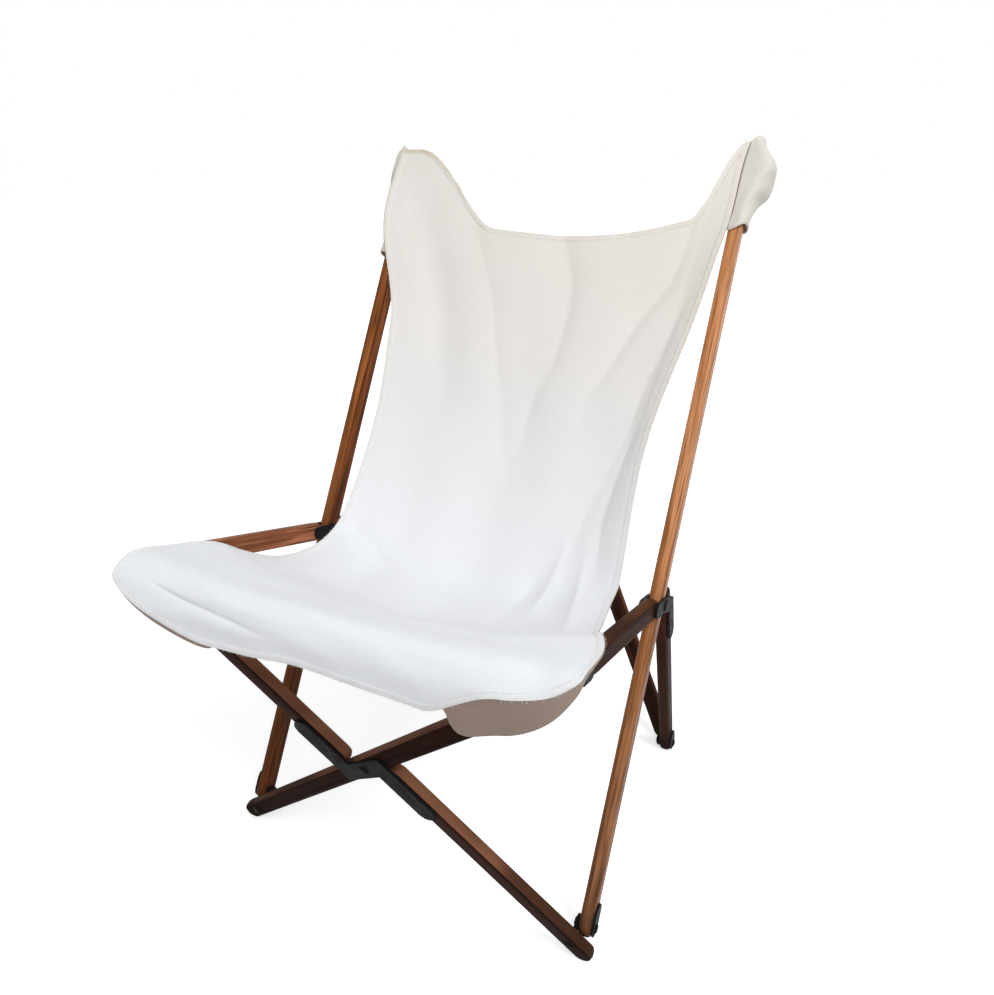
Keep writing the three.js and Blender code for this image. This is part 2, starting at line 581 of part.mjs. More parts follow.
// The origin is the middle of the chair's box on the floor
part.updateMatrixWorld(true);
const box = new THREE.Box3().setFromObject(part, true);
part.position.set(-(box.min.x + box.max.x) / 2, -(box.min.y + box.max.y) / 2, -box.min.z);

export default part;
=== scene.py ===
"""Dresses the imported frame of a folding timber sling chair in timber, iron and hemmed canvas."""
import logging
import math
from dataclasses import dataclass, field
from enum import Enum

import bpy
import numpy as np
from mathutils import Matrix, Vector


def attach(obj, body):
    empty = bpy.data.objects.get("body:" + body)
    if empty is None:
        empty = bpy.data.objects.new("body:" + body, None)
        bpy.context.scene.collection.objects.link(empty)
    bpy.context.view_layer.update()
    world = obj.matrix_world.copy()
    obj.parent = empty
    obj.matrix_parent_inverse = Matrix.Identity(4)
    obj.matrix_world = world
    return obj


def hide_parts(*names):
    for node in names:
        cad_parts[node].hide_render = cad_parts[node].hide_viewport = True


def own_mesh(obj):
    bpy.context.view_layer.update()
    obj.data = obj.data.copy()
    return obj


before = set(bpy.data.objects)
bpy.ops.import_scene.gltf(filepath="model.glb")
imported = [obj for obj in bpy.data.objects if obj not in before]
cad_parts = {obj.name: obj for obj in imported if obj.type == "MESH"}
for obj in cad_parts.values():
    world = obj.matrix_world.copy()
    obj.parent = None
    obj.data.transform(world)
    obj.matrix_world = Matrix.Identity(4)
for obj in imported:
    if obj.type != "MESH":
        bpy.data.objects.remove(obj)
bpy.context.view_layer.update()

log = logging.getLogger("sling_chair")

Array = np.ndarray
Number = float | np.ndarray
Colour = tuple[float, float, float]
Point = tuple[float, float, float]
Span = tuple[float, float]
Node = bpy.types.Node
NodeTree = bpy.types.NodeTree
Socket = bpy.types.NodeSocket
Material = bpy.types.Material
Object = bpy.types.Object


# Small helpers


def lerp(a: Number, b: Number, k: Number) -> Number:
    """Returns the value a share k of the way from a to b."""
    return a + (b - a) * k


def smoothstep(x: Number, low: float, high: float) -> Array:
    """Returns 0 below low, 1 above high and a smooth ramp between."""
    k = np.clip((np.asarray(x, float) - low) / (high - low), 0.0, 1.0)
    return k * k * (3 - 2 * k)


def unit(v: Array) -> Array:
    """Returns vectors at length 1 along their last axis."""
    v = np.asarray(v, float)
    return v / np.maximum(np.linalg.norm(v, axis=-1, keepdims=True), 1e-12)


def quarter(v: Array) -> Array:
    """Returns a plane direction turned a quarter turn."""
    return np.array([-v[1], v[0]])


def turned(v: Array, angle: float) -> Array:
    """Returns a plane direction turned by an angle."""
    c, s = math.cos(angle), math.sin(angle)
    return np.array([v[0] * c - v[1] * s, v[0] * s + v[1] * c])


def run_length(points: Array, axis: int) -> Array:
    """Returns each grid point's distance from the start of its line along an axis."""
    steps = np.cumsum(np.linalg.norm(np.diff(points, axis=axis), axis=2), axis=axis)
    return np.concatenate([np.zeros_like(np.take(steps, [0], axis)), steps], axis)


def spline(stops: Array, s: Array) -> Array:
    """Finds points on a smooth curve through a few stops.

    Args:
        stops: The stops.
        s: Places along the curve, counted in stops.

    Returns:
        The points.
    """
    p = np.concatenate([[2 * stops[0] - stops[1]], stops, [2 * stops[-1] - stops[-2]]])
    k = np.clip(np.floor(s).astype(int), 0, len(stops) - 2)
    w = (s - k)[..., None]
    p0, p1, p2, p3 = (p[k + i] for i in range(4))
    d0, d1, d2 = (
        np.maximum(np.sqrt(np.linalg.norm(b - a, axis=-1, keepdims=True)), 1e-6)
        for a, b in ((p0, p1), (p1, p2), (p2, p3))
    )
    t1 = ((p1 - p0) / d0 - (p2 - p0) / (d0 + d1) + (p2 - p1) / d1) * d1
    t2 = ((p2 - p1) / d1 - (p3 - p1) / (d1 + d2) + (p3 - p2) / d2) * d1
    return p1 + t1 * w + (-3 * p1 + 3 * p2 - 2 * t1 - t2) * w**2 + (2 * p1 - 2 * p2 + t1 + t2) * w**3


def opaque(colour: Colour | Socket) -> tuple[float, ...] | Socket:
    """Returns a colour with full alpha, and a socket as it is."""
    return colour if isinstance(colour, Socket) else (*colour, 1.0)


def linked(name: str, data: bpy.types.ID) -> Object:
    """Makes an object at the origin and links it to the scene.

    Args:
        name: The object's name.
        data: Its mesh, lamp or camera.

    Returns:
        The object.
    """
    made = bpy.data.objects.new(name, data)
    bpy.context.scene.collection.objects.link(made)
    return made


# Sizes of the frame


class Side(Enum):
    """The two sides of the chair."""

    LEFT = -1
    RIGHT = 1

    @property
    def label(self) -> str:
        """Returns the word that starts this side's piece names."""
        return self.name.lower()


@dataclass(frozen=True)
class FrameSizes:
    """Sizes of the timber frame; side-frame points are (Y, Z) from the front foot pivot.

    Lengths are in metres. Reaches are shares of the depth, the tip's rise is a share of the height, and the
    foot's is in bar widths.
    """

    shift: float = -0.2370845
    width: float = 0.576
    depth: float = 0.682
    height: float = 0.985
    front_reach: float = 0.1437
    front_rise: float = 0.53604
    rear_reach: float = 0.63783
    foot_rise: float = 1.2
    bar_width: float = 0.030
    bar_thick: float = 0.019
    gap: float = 0.0003
    strap_thick: float = 0.004
    stand_off: float = 0.026
    eye_thick: float = 0.005
    crank: float = 0.032
    crossing_share: float = 0.4086

    @property
    def plane(self) -> float:
        """Returns the distance of each side frame from the middle."""
        return self.width / 2

    @property
    def strap_face(self) -> float:
        """Returns the distance of a strap's outer face from the middle of its bar."""
        return self.bar_thick / 2 + self.gap + self.strap_thick

    @property
    def front_foot(self) -> Array:
        """Returns the front foot pivot."""
        return np.array([0.0, self.foot_rise * self.bar_width])

    @property
    def front_tip(self) -> Array:
        """Returns the front tip pivot."""
        return np.array([-self.front_reach * self.depth, self.front_rise * self.height])

    @property
    def top_tip(self) -> Array:
        """Returns the top pivot."""
        return np.array([self.depth * (1 - self.front_reach), self.height])

    @property
    def rear_foot(self) -> Array:
        """Returns the rear foot pivot."""
        return np.array([self.rear_reach * self.depth, self.bar_width / 2])

    @property
    def crossing(self) -> Array:
        """Returns the crossing of side bar and seat rail."""
        return lerp(self.front_foot, self.top_tip, self.crossing_share)

    @property
    def bar_up(self) -> Array:
        """Returns the direction up the side bar."""
        return unit(self.top_tip - self.front_foot)

    @property
    def rail_out(self) -> Array:
        """Returns the direction forward along the seat rail."""
        return unit(self.front_tip - self.crossing)

    @property
    def leg(self) -> tuple[Array, Array]:
        """Finds the rear leg, which is cranked at the crossing.

        Returns:
            Its start and its direction down.
        """
        chord = self.rear_foot - self.crossing
        length = float(np.linalg.norm(chord))
        down = turned(chord / length, -math.asin(self.crank / length))
        return self.rear_foot - down * math.sqrt(length**2 - self.crank**2), down

    def place(self, x: float, p: Array) -> Vector:
        """Returns a side-frame point as a point of the model."""
        return Vector((x, float(p[0]) + self.shift, float(p[1])))


SIZES = FrameSizes()


# Node trees


class Tree:
    """A thin hand on a node tree: adds nodes, links them and gives the tree its named sockets."""

    def __init__(self, tree: NodeTree) -> None:
        """Keeps the tree and clears it."""
        self.tree = tree
        tree.nodes.clear()

    def add(self, kind: str, inputs: dict | None = None, **settings: object) -> Node:
        """Adds a node.

        Args:
            kind: The node's type name.
            inputs: Values or output sockets for its inputs, by name or number.
            settings: Values for the node's own properties.

        Returns:
            The node.
        """
        node = self.tree.nodes.new(kind)
        for key, value in settings.items():
            setattr(node, key, value)
        for key, value in (inputs or {}).items():
            if isinstance(value, Socket):
                self.tree.links.new(value, node.inputs[key])
            else:
                node.inputs[key].default_value = value
        return node

    def socket(self, name: str, kind: str, out: bool = False, value: object = None) -> None:
        """Adds a named socket to the tree's interface.

        Args:
            name: The socket's name.
            kind: Its type name.
            out: Whether it is an output.
            value: Its default.
        """
        way = "OUTPUT" if out else "INPUT"
        item = self.tree.interface.new_socket(name=name, in_out=way, socket_type=kind)
        if value is not None:
            item.default_value = value

    def math(self, operation: str, a: float | Socket, b: float | Socket = 0.0, clamp: bool = False) -> Socket:
        """Adds a Math node and returns its output."""
        return self.add("ShaderNodeMath", {0: a, 1: b}, operation=operation, use_clamp=clamp).outputs[0]

    def vector(self, operation: str, a: Point | Socket, b: Point | Socket) -> Socket:
        """Adds a Vector Math node and returns its vector output."""
        return self.add("ShaderNodeVectorMath", {0: a, 1: b}, operation=operation).outputs[0]

    def noise(
        self,
        vector: Socket,
        scale: float,
        detail: float = 3.0,
        roughness: float = 0.5,
        distortion: float = 0.0,
    ) -> Socket:
        """Adds a Noise Texture and returns its factor."""
        values = {"Scale": scale, "Detail": detail, "Roughness": roughness, "Distortion": distortion}
        return self.add("ShaderNodeTexNoise", {"Vector": vector, **values}).outputs[0]

    def streaks(self, at: Socket, scale: Point, detail: float = 2.0, roughness: float = 0.6) -> Socket:
        """Adds noise that is drawn out by a scale for each axis and returns its factor."""
        return self.noise(self.vector("MULTIPLY", at, scale), 1.0, detail, roughness)

    def remap(self, value: Socket, low: float, high: float, start: float = 0.0, end: float = 1.0) -> Socket:
        """Adds a smooth Map Range node and returns its result."""
        values = {"Value": value, "From Min": low, "From Max": high, "To Min": start, "To Max": end}
        return self.add("ShaderNodeMapRange", values, interpolation_type="SMOOTHSTEP").outputs[0]

    def mix(self, factor: Socket, a: Colour | Socket, b: Colour | Socket, blend: str = "MIX") -> Socket:
        """Adds a colour Mix node and returns its colour."""
        values = {0: factor, 6: opaque(a), 7: opaque(b)}
        return self.add("ShaderNodeMix", values, data_type="RGBA", blend_type=blend).outputs[2]

    def object_place(self) -> Socket:
        """Returns the place on the piece in Object coordinates."""
        return self.add("ShaderNodeTexCoord").outputs["Object"]

    def seen(self) -> Socket:
        """Tells what the camera sees, directly, mirrored or through a surface, from what only gives light.

        Returns:
            1 where it is seen.
        """
        path = self.add("ShaderNodeLightPath").outputs
        straight = self.math("MAXIMUM", path["Is Camera Ray"], path["Is Glossy Ray"])
        return self.math("MAXIMUM", straight, path["Is Transmission Ray"])


class Effects:
    """Shader node groups that the finishes share; each puts out a colour, a roughness and a height."""

    OUTPUTS = {"Color": "NodeSocketColor", "Roughness": "NodeSocketFloat", "Height": "NodeSocketFloat"}

    def __init__(self) -> None:
        """Builds each group once."""
        self.grain = self.grain_group()
        self.weave = self.weave_group()
        self.forge = self.forge_group()

    def start(self, name: str, **inputs: Colour | float) -> tuple[Tree, bpy.types.NodeOutputs]:
        """Starts a shader group with its sockets, the first of them a place.

        Args:
            name: The group's name.
            inputs: Default of each other input, a colour or a number.

        Returns:
            The tree and its inputs, by name.
        """
        tree = Tree(bpy.data.node_groups.new(name, "ShaderNodeTree"))
        tree.socket("Vector", "NodeSocketVector")
        for label, value in inputs.items():
            if isinstance(value, tuple):
                tree.socket(label, "NodeSocketColor", value=opaque(value))
            else:
                tree.socket(label, "NodeSocketFloat", value=value)
        for label, kind in self.OUTPUTS.items():
            tree.socket(label, kind, out=True)
        return tree, tree.add("NodeGroupInput").outputs

    def end(self, tree: Tree, *values: Socket) -> NodeTree:
        """Links the colour, roughness and height to the group's outputs and returns the group."""
        tree.add("NodeGroupOutput", dict(zip(self.OUTPUTS, values)))
        return tree.tree

    def grain_group(self) -> NodeTree:
        """Makes timber grain along X: long figure, fine fibres, dark pores, painted highlight on worn edges,
        painted shade.

        Returns:
            The group.
        """
        tree, given = self.start(
            "timber_grain",
            Light=(0.3, 0.1, 0.03),
            Dark=(0.07, 0.02, 0.008),
            Worn=(0.46, 0.165, 0.042),
            Grime=0.0,
            Edge=0.0,
        )
        at = given["Vector"]
        figure = tree.noise(tree.vector("MULTIPLY", at, (1.5, 34.0, 34.0)), 1.6, 5.0, 0.58, 0.9)
        fibre = tree.streaks(at, (14.0, 620.0, 620.0))
        pore = tree.streaks(at, (9.0, 330.0, 330.0), 1.0, 0.5)
        broad = tree.noise(at, 5.0, 2.0, 0.5)
        body = tree.mix(tree.remap(figure, 0.36, 0.66), given["Dark"], given["Light"])
        body = tree.mix(tree.remap(fibre, 0.35, 0.7, 0.0, 0.5), body, (0.04, 0.013, 0.006))
        body = tree.mix(tree.remap(pore, 0.56, 0.7, 0.0, 0.8), body, (0.018, 0.007, 0.004))
        # The narrow faces get a lighter colour, partly worn edges and partly a painted highlight
        worn = tree.math("MULTIPLY", given["Edge"], tree.remap(broad, 0.36, 0.6, 0.25, 1.0))
        body = tree.mix(worn, body, given["Worn"])
        # Painted shade towards the floor, together with the darker feet, dims the colour
        grime = tree.math("MULTIPLY", given["Grime"], tree.remap(broad, 0.3, 0.7, 0.6, 1.0))
        body = tree.mix(grime, body, (0.016, 0.009, 0.007))
        rough = tree.math("ADD", tree.remap(fibre, 0.3, 0.7, 0.32, 0.48), tree.math("MULTIPLY", grime, 0.2))
        pits = tree.math("MULTIPLY", tree.remap(pore, 0.6, 0.72), -0.6)
        return self.end(tree, body, rough, tree.math("ADD", tree.math("MULTIPLY", fibre, 0.5), pits))

    def weave_group(self) -> NodeTree:
        """Makes plain canvas weave with slubs, handling marks, a painted warm shade, tan tinges and a tan
        hem.

        Returns:
            The group.
        """
        tree, given = self.start(
            "canvas_weave",
            Cloth=(0.84, 0.82, 0.79),
            Tan=(0.62, 0.5, 0.3),
            Hem=0.0,
            Tinge=0.0,
            Age=0.0,
            Pitch=0.0011,
        )
        at = given["Vector"]
        split = tree.add("ShaderNodeSeparateXYZ", {0: at}).outputs
        turns = tree.math("DIVIDE", 2 * math.pi, given["Pitch"])
        warp, weft = (tree.math("SINE", tree.math("MULTIPLY", split[n], turns)) for n in (0, 1))
        checks = tree.math("MULTIPLY", warp, weft)
        slub = tree.math("ADD", tree.streaks(at, (900.0, 70.0, 1.0)), tree.streaks(at, (70.0, 900.0, 1.0)))
        marks = tree.noise(at, 7.0, 4.0, 0.6, 0.4)
        # Painted warm shade: the cloth is made warmer and darker where the back faces away from the sky light
        cloth = tree.mix(given["Age"], given["Cloth"], (0.95, 0.878, 0.785), "MULTIPLY")
        cloth = tree.mix(tree.remap(slub, 0.85, 1.25, 0.0, 0.15), cloth, (0.82, 0.80, 0.77), "MULTIPLY")
        cloth = tree.mix(tree.remap(marks, 0.5, 0.78, 0.0, 0.2), cloth, (0.90, 0.86, 0.78), "MULTIPLY")
        patchy = tree.remap(tree.noise(at, 60.0, 3.0, 0.6), 0.3, 0.7, 0.25, 0.8)
        band = tree.math("MULTIPLY", given["Hem"], patchy)
        cloth = tree.mix(tree.math("MULTIPLY", band, 0.3), cloth, given["Tan"])
        uneven = tree.remap(tree.noise(at, 24.0, 3.0, 0.55), 0.3, 0.66, 0.3, 1.0)
        cloth = tree.mix(tree.math("MULTIPLY", given["Tinge"], uneven), cloth, given["Tan"])
        height = tree.math("ADD", tree.math("MULTIPLY", checks, 0.35), tree.math("MULTIPLY", slub, 0.8))
        return self.end(tree, cloth, tree.remap(slub, 0.8, 1.2, 0.86, 0.97), height)

    def forge_group(self) -> NodeTree:
        """Makes blackened iron with scale and a little rust.

        Returns:
            The group.
        """
        tree, given = self.start(
            "forge_scale", Black=(0.007, 0.007, 0.008), Rust=(0.035, 0.016, 0.010), Rusting=0.35
        )
        cloud = tree.noise(given["Vector"], 70.0, 4.0, 0.6)
        speck = tree.noise(given["Vector"], 420.0, 2.0, 0.6)
        rust = tree.math("MULTIPLY", tree.remap(cloud, 0.5, 0.72), given["Rusting"])
        body = tree.mix(tree.remap(speck, 0.45, 0.75, 0.0, 0.5), given["Black"], (0.020, 0.019, 0.020))
        body = tree.mix(rust, body, given["Rust"])
        scale = tree.remap(cloud, 0.3, 0.7, 0.42, 0.62)
        rough = tree.math("ADD", scale, tree.math("MULTIPLY", rust, 0.25), clamp=True)
        return self.end(tree, body, rough, speck)


# Finishes


class Finish:
    """What every finish shares: a named material with one shader."""

    name: str

    def material(self, effects: Effects) -> Material:
        """Builds the material.

        Args:
            effects: The shared node groups.

        Returns:
            The material.
        """
        made = bpy.data.materials.new(self.name)
        made.use_nodes = True
        tree = Tree(made.node_tree)
        shader = tree.add("ShaderNodeBsdfPrincipled", self.surface(tree, effects))
        tree.add("ShaderNodeOutputMaterial", {"Surface": shader.outputs[0]})
        return made

    def surface(self, tree: Tree, effects: Effects) -> dict[str, object]:
        """Returns the shader's inputs, which each kind of finish gives."""
        raise NotImplementedError

    @staticmethod
    def skin(tree: Tree, group: Node, strength: float, distance: float) -> dict[str, object]:
        """Makes shader inputs of a group's outputs.

        Args:
            tree: The material's tree.
            group: The group's node.
            strength: The strength of the bump.
            distance: Its depth in metres.

        Returns:
            The colour, roughness and normal.
        """
        height = group.outputs["Height"]
        bump = tree.add("ShaderNodeBump", {"Height": height, "Strength": strength, "Distance": distance})
        dressed = {"Base Color": group.outputs["Color"], "Roughness": group.outputs["Roughness"]}
        return {**dressed, "Normal": bump.outputs[0]}


@dataclass(frozen=True)
class Timber(Finish):
    """Varnished timber with its grain along one bar, worn edges with a painted highlight, painted shade
    towards the floor.
    """

    name: str
    along: Point
    face: Point
    light: Colour = (0.40, 0.125, 0.030)
    dark: Colour = (0.10, 0.029, 0.010)
    worn: Colour = (0.46, 0.165, 0.042)
    lit_edge_wear: float = 0.4
    gloss: float = 0.08
    shade_top: float = 0.16
    grime: float = 0.75
    foot_top: float = 0.06
    foot_dark: float = 0.92
    offset: float = 0.0

    def surface(self, tree: Tree, effects: Effects) -> dict[str, object]:
        """Describes the shader.

        Args:
            tree: The material's tree.
            effects: The shared node groups.

        Returns:
            The shader's inputs.
        """
        x = Vector(self.along).normalized()
        z = Vector(self.face).normalized()
        turn = Matrix((x, z.cross(x), z)).to_euler()
        moved = (self.offset, 0.37 * self.offset, 0.0)
        place = tree.object_place()
        at = tree.add("ShaderNodeMapping", {"Vector": place, "Rotation": turn, "Location": moved}).outputs[0]
        rise = tree.add("ShaderNodeSeparateXYZ", {0: place}).outputs[2]
        # Painted shade darkens the lower part of the bar; its foot is darker still
        grime = tree.math("MULTIPLY", tree.remap(rise, 0.0, self.shade_top, 1.0, 0.0), self.grime)
        foot = tree.remap(rise, 0.6 * self.foot_top, self.foot_top, self.foot_dark, 0.0)
        # The narrow faces, found from the normal, get a lighter colour: partly wear, partly a painted
        # highlight
        normal = tree.add("ShaderNodeNewGeometry").outputs["Normal"]
        facing = {0: normal, 1: self.face}
        flat = tree.add("ShaderNodeVectorMath", facing, operation="DOT_PRODUCT").outputs[1]
        values = {
            "Vector": at,
            "Light": opaque(self.light),
            "Dark": opaque(self.dark),
            "Worn": opaque(self.worn),
            "Grime": tree.math("MAXIMUM", grime, foot),
            "Edge": tree.remap(tree.math("ABSOLUTE", flat), 0.45, 0.97, self.lit_edge_wear, 0.0),
        }
        group = tree.add("ShaderNodeGroup", values, node_tree=effects.grain)
        return {**self.skin(tree, group, 0.25, 0.0005), "Specular IOR Level": self.gloss}


@dataclass(frozen=True)
class Iron(Finish):
    """Iron under black paint."""

    name: str = "blackened_iron"
    rusting: float = 0.35
    gloss: float = 0.04

    def surface(self, tree: Tree, effects: Effects) -> dict[str, object]:
        """Describes the shader.

        Args:
            tree: The material's tree.
            effects: The shared node groups.

        Returns:
            The shader's inputs.
        """
        values = {"Vector": tree.object_place(), "Rusting": self.rusting}
        group = tree.add("ShaderNodeGroup", values, node_tree=effects.forge)
        return {**self.skin(tree, group, 0.3, 0.0004), "Specular IOR Level": self.gloss}


@dataclass(frozen=True)
class Canvas(Finish):
    """Unbleached canvas that follows the cloth's own map, with a yellowed hem."""

    name: str
    cloth: Colour = (0.86, 0.86, 0.87)
    tan: Colour = (0.60, 0.50, 0.32)
    pitch: float = 0.0012
    hem: float = 0.007
    sheen: float = 0.12
    gloss: float = 0.2

    def surface(self, tree: Tree, effects: Effects) -> dict[str, object]:
        """Describes the shader.

        Args:
            tree: The material's tree.
            effects: The shared node groups.

        Returns:
            The shader's inputs.
        """
        inset, tinge, age = (
            tree.add("ShaderNodeAttribute", attribute_name=label).outputs["Fac"] for label in Cloth.LAYERS
        )
        values = {
            "Vector": tree.add("ShaderNodeUVMap", uv_map=Cloth.MAP).outputs[0],
            "Cloth": opaque(self.cloth),
            "Tan": opaque(self.tan),
            "Hem": tree.remap(inset, 0.0, self.hem, 1.0, 0.0),
            "Tinge": tinge,
            "Age": age,
            "Pitch": self.pitch,
        }
        group = tree.add("ShaderNodeGroup", values, node_tree=effects.weave)
        soft = {"Sheen Weight": self.sheen, "Specular IOR Level": self.gloss}
        return {**self.skin(tree, group, 0.35, 0.0005), **soft}


@dataclass(frozen=True)
class Thread(Finish):
    """Cotton sewing thread or frayed warp ends."""

    name: str
    light: Colour
    dark: Colour

    def surface(self, tree: Tree, effects: Effects) -> dict[str, object]:
        """Describes the shader.

        Args:
            tree: The material's tree.
            effects: The shared node groups; thread uses none of them.

        Returns:
            The shader's inputs.
        """
        at = tree.object_place()
        colour = tree.mix(tree.remap(tree.noise(at, 90.0), 0.35, 0.65), self.dark, self.light)
        return {"Base Color": colour, "Roughness": tree.remap(tree.noise(at, 300.0), 0.3, 0.7, 0.75, 0.95)}


@dataclass(frozen=True)
class PaleFloor(Finish):
    """A floor that looks white and keeps the chair's shadow; it glows a little more away from the chair."""

    name: str = "studio_floor"
    glow: Span = (0.58, 1.0)
    glow_ends: Span = (0.7, 2.6)

    def surface(self, tree: Tree, effects: Effects) -> dict[str, object]:
        """Describes the shader.

        Args:
            tree: The material's tree.
            effects: The shared node groups; the floor uses none of them.

        Returns:
            The shader's inputs.
        """
        away = tree.add("ShaderNodeVectorMath", {0: tree.object_place()}, operation="LENGTH").outputs["Value"]
        glow = tree.remap(away, *self.glow_ends, *self.glow)
        return {
            "Base Color": opaque((0.80, 0.80, 0.80)),
            "Roughness": 0.9,
            "Emission Color": opaque((1, 1, 1)),
            "Emission Strength": tree.math("MULTIPLY", tree.seen(), glow),
        }


# Meshes of cloth


def new_object(name: str, points: Array, faces: Array, material: Material, smooth: bool = True) -> Object:
    """Makes a mesh object at the origin.

    Args:
        name: The piece's name.
        points: Its vertices in metres.
        faces: Its faces as vertex numbers.
        material: Its material.
        smooth: Whether its faces are shaded smooth.

    Returns:
        The object, linked to the scene.
    """
    mesh = bpy.data.meshes.new(name)
    vertices = [tuple(p) for p in np.asarray(points, float)]
    mesh.from_pydata(vertices, [], [tuple(int(i) for i in f) for f in faces])
    mesh.polygons.foreach_set("use_smooth", [smooth] * len(mesh.polygons))
    mesh.materials.append(material)
    return linked(name, mesh)


@dataclass
class Cloth:
    """A grid of points on the middle of a sheet, with its thickness, masks and sharp rows."""

    MAP = "cloth"
    # The masks: hem inset, tan tinge and painted warm shade
    LAYERS = ("inset", "tinge", "age")

    points: Array
    inset: Array
    thick: Array
    tinge: Array | None = None
    age: Array | None = None
    sharp_rows: tuple[int, ...] = ()

    def normals(self) -> Array:
        """Returns the grid's unit normals, which point to the underside."""
        across, down = np.gradient(self.points, axis=1), np.gradient(self.points, axis=0)
        return unit(np.cross(across, down))

    def flat_size(self) -> tuple[float, float, float]:
        """Measures the sheet as it lies flat.

        Returns:
            Its width, length and area.
        """
        p = self.points
        a, b, c, d = p[:-1, :-1], p[:-1, 1:], p[1:, 1:], p[1:, :-1]
        halves = (np.linalg.norm(np.cross(u - a, v - a), axis=2) for u, v in ((b, c), (c, d)))
        area = sum(0.5 * half.sum() for half in halves)
        return float(run_length(p, 1)[:, -1].max()), float(run_length(p, 0)[-1].max()), float(area)

    def faces(self, number: Array) -> Array:
        """Joins the two skins of the sheet and closes its rim.

        Args:
            number: The upper skin's vertex numbers, by row and column; the lower skin's follow them.

        Returns:
            The faces, which point outwards.
        """
        a, b, c, d = (q.ravel() for q in (number[:-1, :-1], number[:-1, 1:], number[1:, 1:], number[1:, :-1]))
        rim = np.concatenate([number[0, :-1], number[:-1, -1], number[-1, :0:-1], number[:0:-1, 0]])
        ahead = np.roll(rim, -1)
        wall = np.stack([rim, ahead, ahead + number.size, rim + number.size], 1)
        return np.concatenate([np.stack([a, d, c, b], 1), np.stack([a, b, c, d], 1) + number.size, wall])

    def build(self, name: str, material: Material) -> Object:
        """Makes the sheet a closed thin mesh.

        Args:
            name: The piece's name.
            material: Its canvas.

        Returns:
            The object.
        """
        rows, columns = self.points.shape[:2]
        number = np.arange(rows * columns).reshape(rows, columns)
        half = self.normals() * (self.thick / 2)[..., None]
        skins = np.concatenate([(self.points - half).reshape(-1, 3), (self.points + half).reshape(-1, 3)])
        made = new_object(name, skins, self.faces(number), material)
        mesh = made.data
        across = run_length(self.points, 1)
        across = across - across[:, columns // 2 : columns // 2 + 1]
        flat = np.stack([across, run_length(self.points, 0)], 2).reshape(-1, 2)
        loops = np.zeros(len(mesh.loops), int)
        mesh.loops.foreach_get("vertex_index", loops)
        mapped = np.concatenate([flat, flat])[loops].astype(np.float32)
        mesh.uv_layers.new(name=self.MAP).data.foreach_set("uv", mapped.ravel())
        for label in self.LAYERS:
            values = getattr(self, label)
            values = np.zeros(rows * columns) if values is None else values.ravel()
            both = np.concatenate([values, values]).astype(np.float32)
            mesh.attributes.new(label, "FLOAT", "POINT").data.foreach_set("value", both)
        if self.sharp_rows:
            self.sharpen(mesh, number)
        mesh.update()
        return made

    def sharpen(self, mesh: bpy.types.Mesh, number: Array) -> None:
        """Marks the edges along the sharp rows.

        Args:
            mesh: The sheet's mesh.
            number: The upper skin's vertex numbers, by row and column.
        """
        flagged = np.zeros(2 * number.size, bool)
        for row in self.sharp_rows:
            flagged[number[row]] = flagged[number[row] + number.size] = True
        ends = np.zeros(2 * len(mesh.edges), int)
        mesh.edges.foreach_get("vertices", ends)
        marked = flagged[ends.reshape(-1, 2)].all(1)
        mesh.attributes.new("sharp_edge", "BOOLEAN", "EDGE").data.foreach_set("value", marked)


# The sling


class Hem:
    """The sling's right-hand hem: a smooth curve through stations on the side bar and the seat rail.

    A station has its share of the way from the crossing to the tip, how many bar widths it lies off the
    middle of the bar, and its share of the half width.
    """

    BAR = (
        (1.031, 0.62, 1.052), (0.8, 0.507, 0.9514), (0.55, 0.3, 0.882), (0.3, 0.3, 0.8368),
        (0.03, 1.333, 0.8368),
    )
    RAIL = (
        (0.2, 0.133, 0.8403), (0.42, -0.3, 0.882), (0.64, 0.033, 0.9271), (0.8, 0.567, 0.9583),
        (0.93, 0.533, 1.0069), (1.09, 0.377, 1.0521), (1.148, -0.4, 1.0694), (1.152, -1.5, 1.0625),
        (1.118, -2.8, 1.0382),
    )
    LAST = len(BAR) + len(RAIL) - 1

    def __init__(self, sizes: FrameSizes) -> None:
        """Places the stations.

        Args:
            sizes: The frame's sizes.
        """
        front, top = quarter(sizes.bar_up), -quarter(sizes.rail_out)
        points = []
        for rows, tip, off in ((self.BAR, sizes.top_tip, front), (self.RAIL, sizes.front_tip, top)):
            for share, widths, spread in rows:
                p = lerp(sizes.crossing, tip, share) + off * widths * sizes.bar_width
                points.append((spread * sizes.plane, p[0], p[1]))
        self.stops = np.array(points)

    def point(self, s: Number) -> Array:
        """Returns the points at the shares s of the hem."""
        return spline(self.stops, np.asarray(s, float) * self.LAST)

    def tangent(self, s: Number) -> Array:
        """Returns the unit tangents at the shares s."""
        s = np.asarray(s, float)
        return unit(self.point(np.minimum(s + 1e-4, 1)) - self.point(np.maximum(s - 1e-4, 0)))


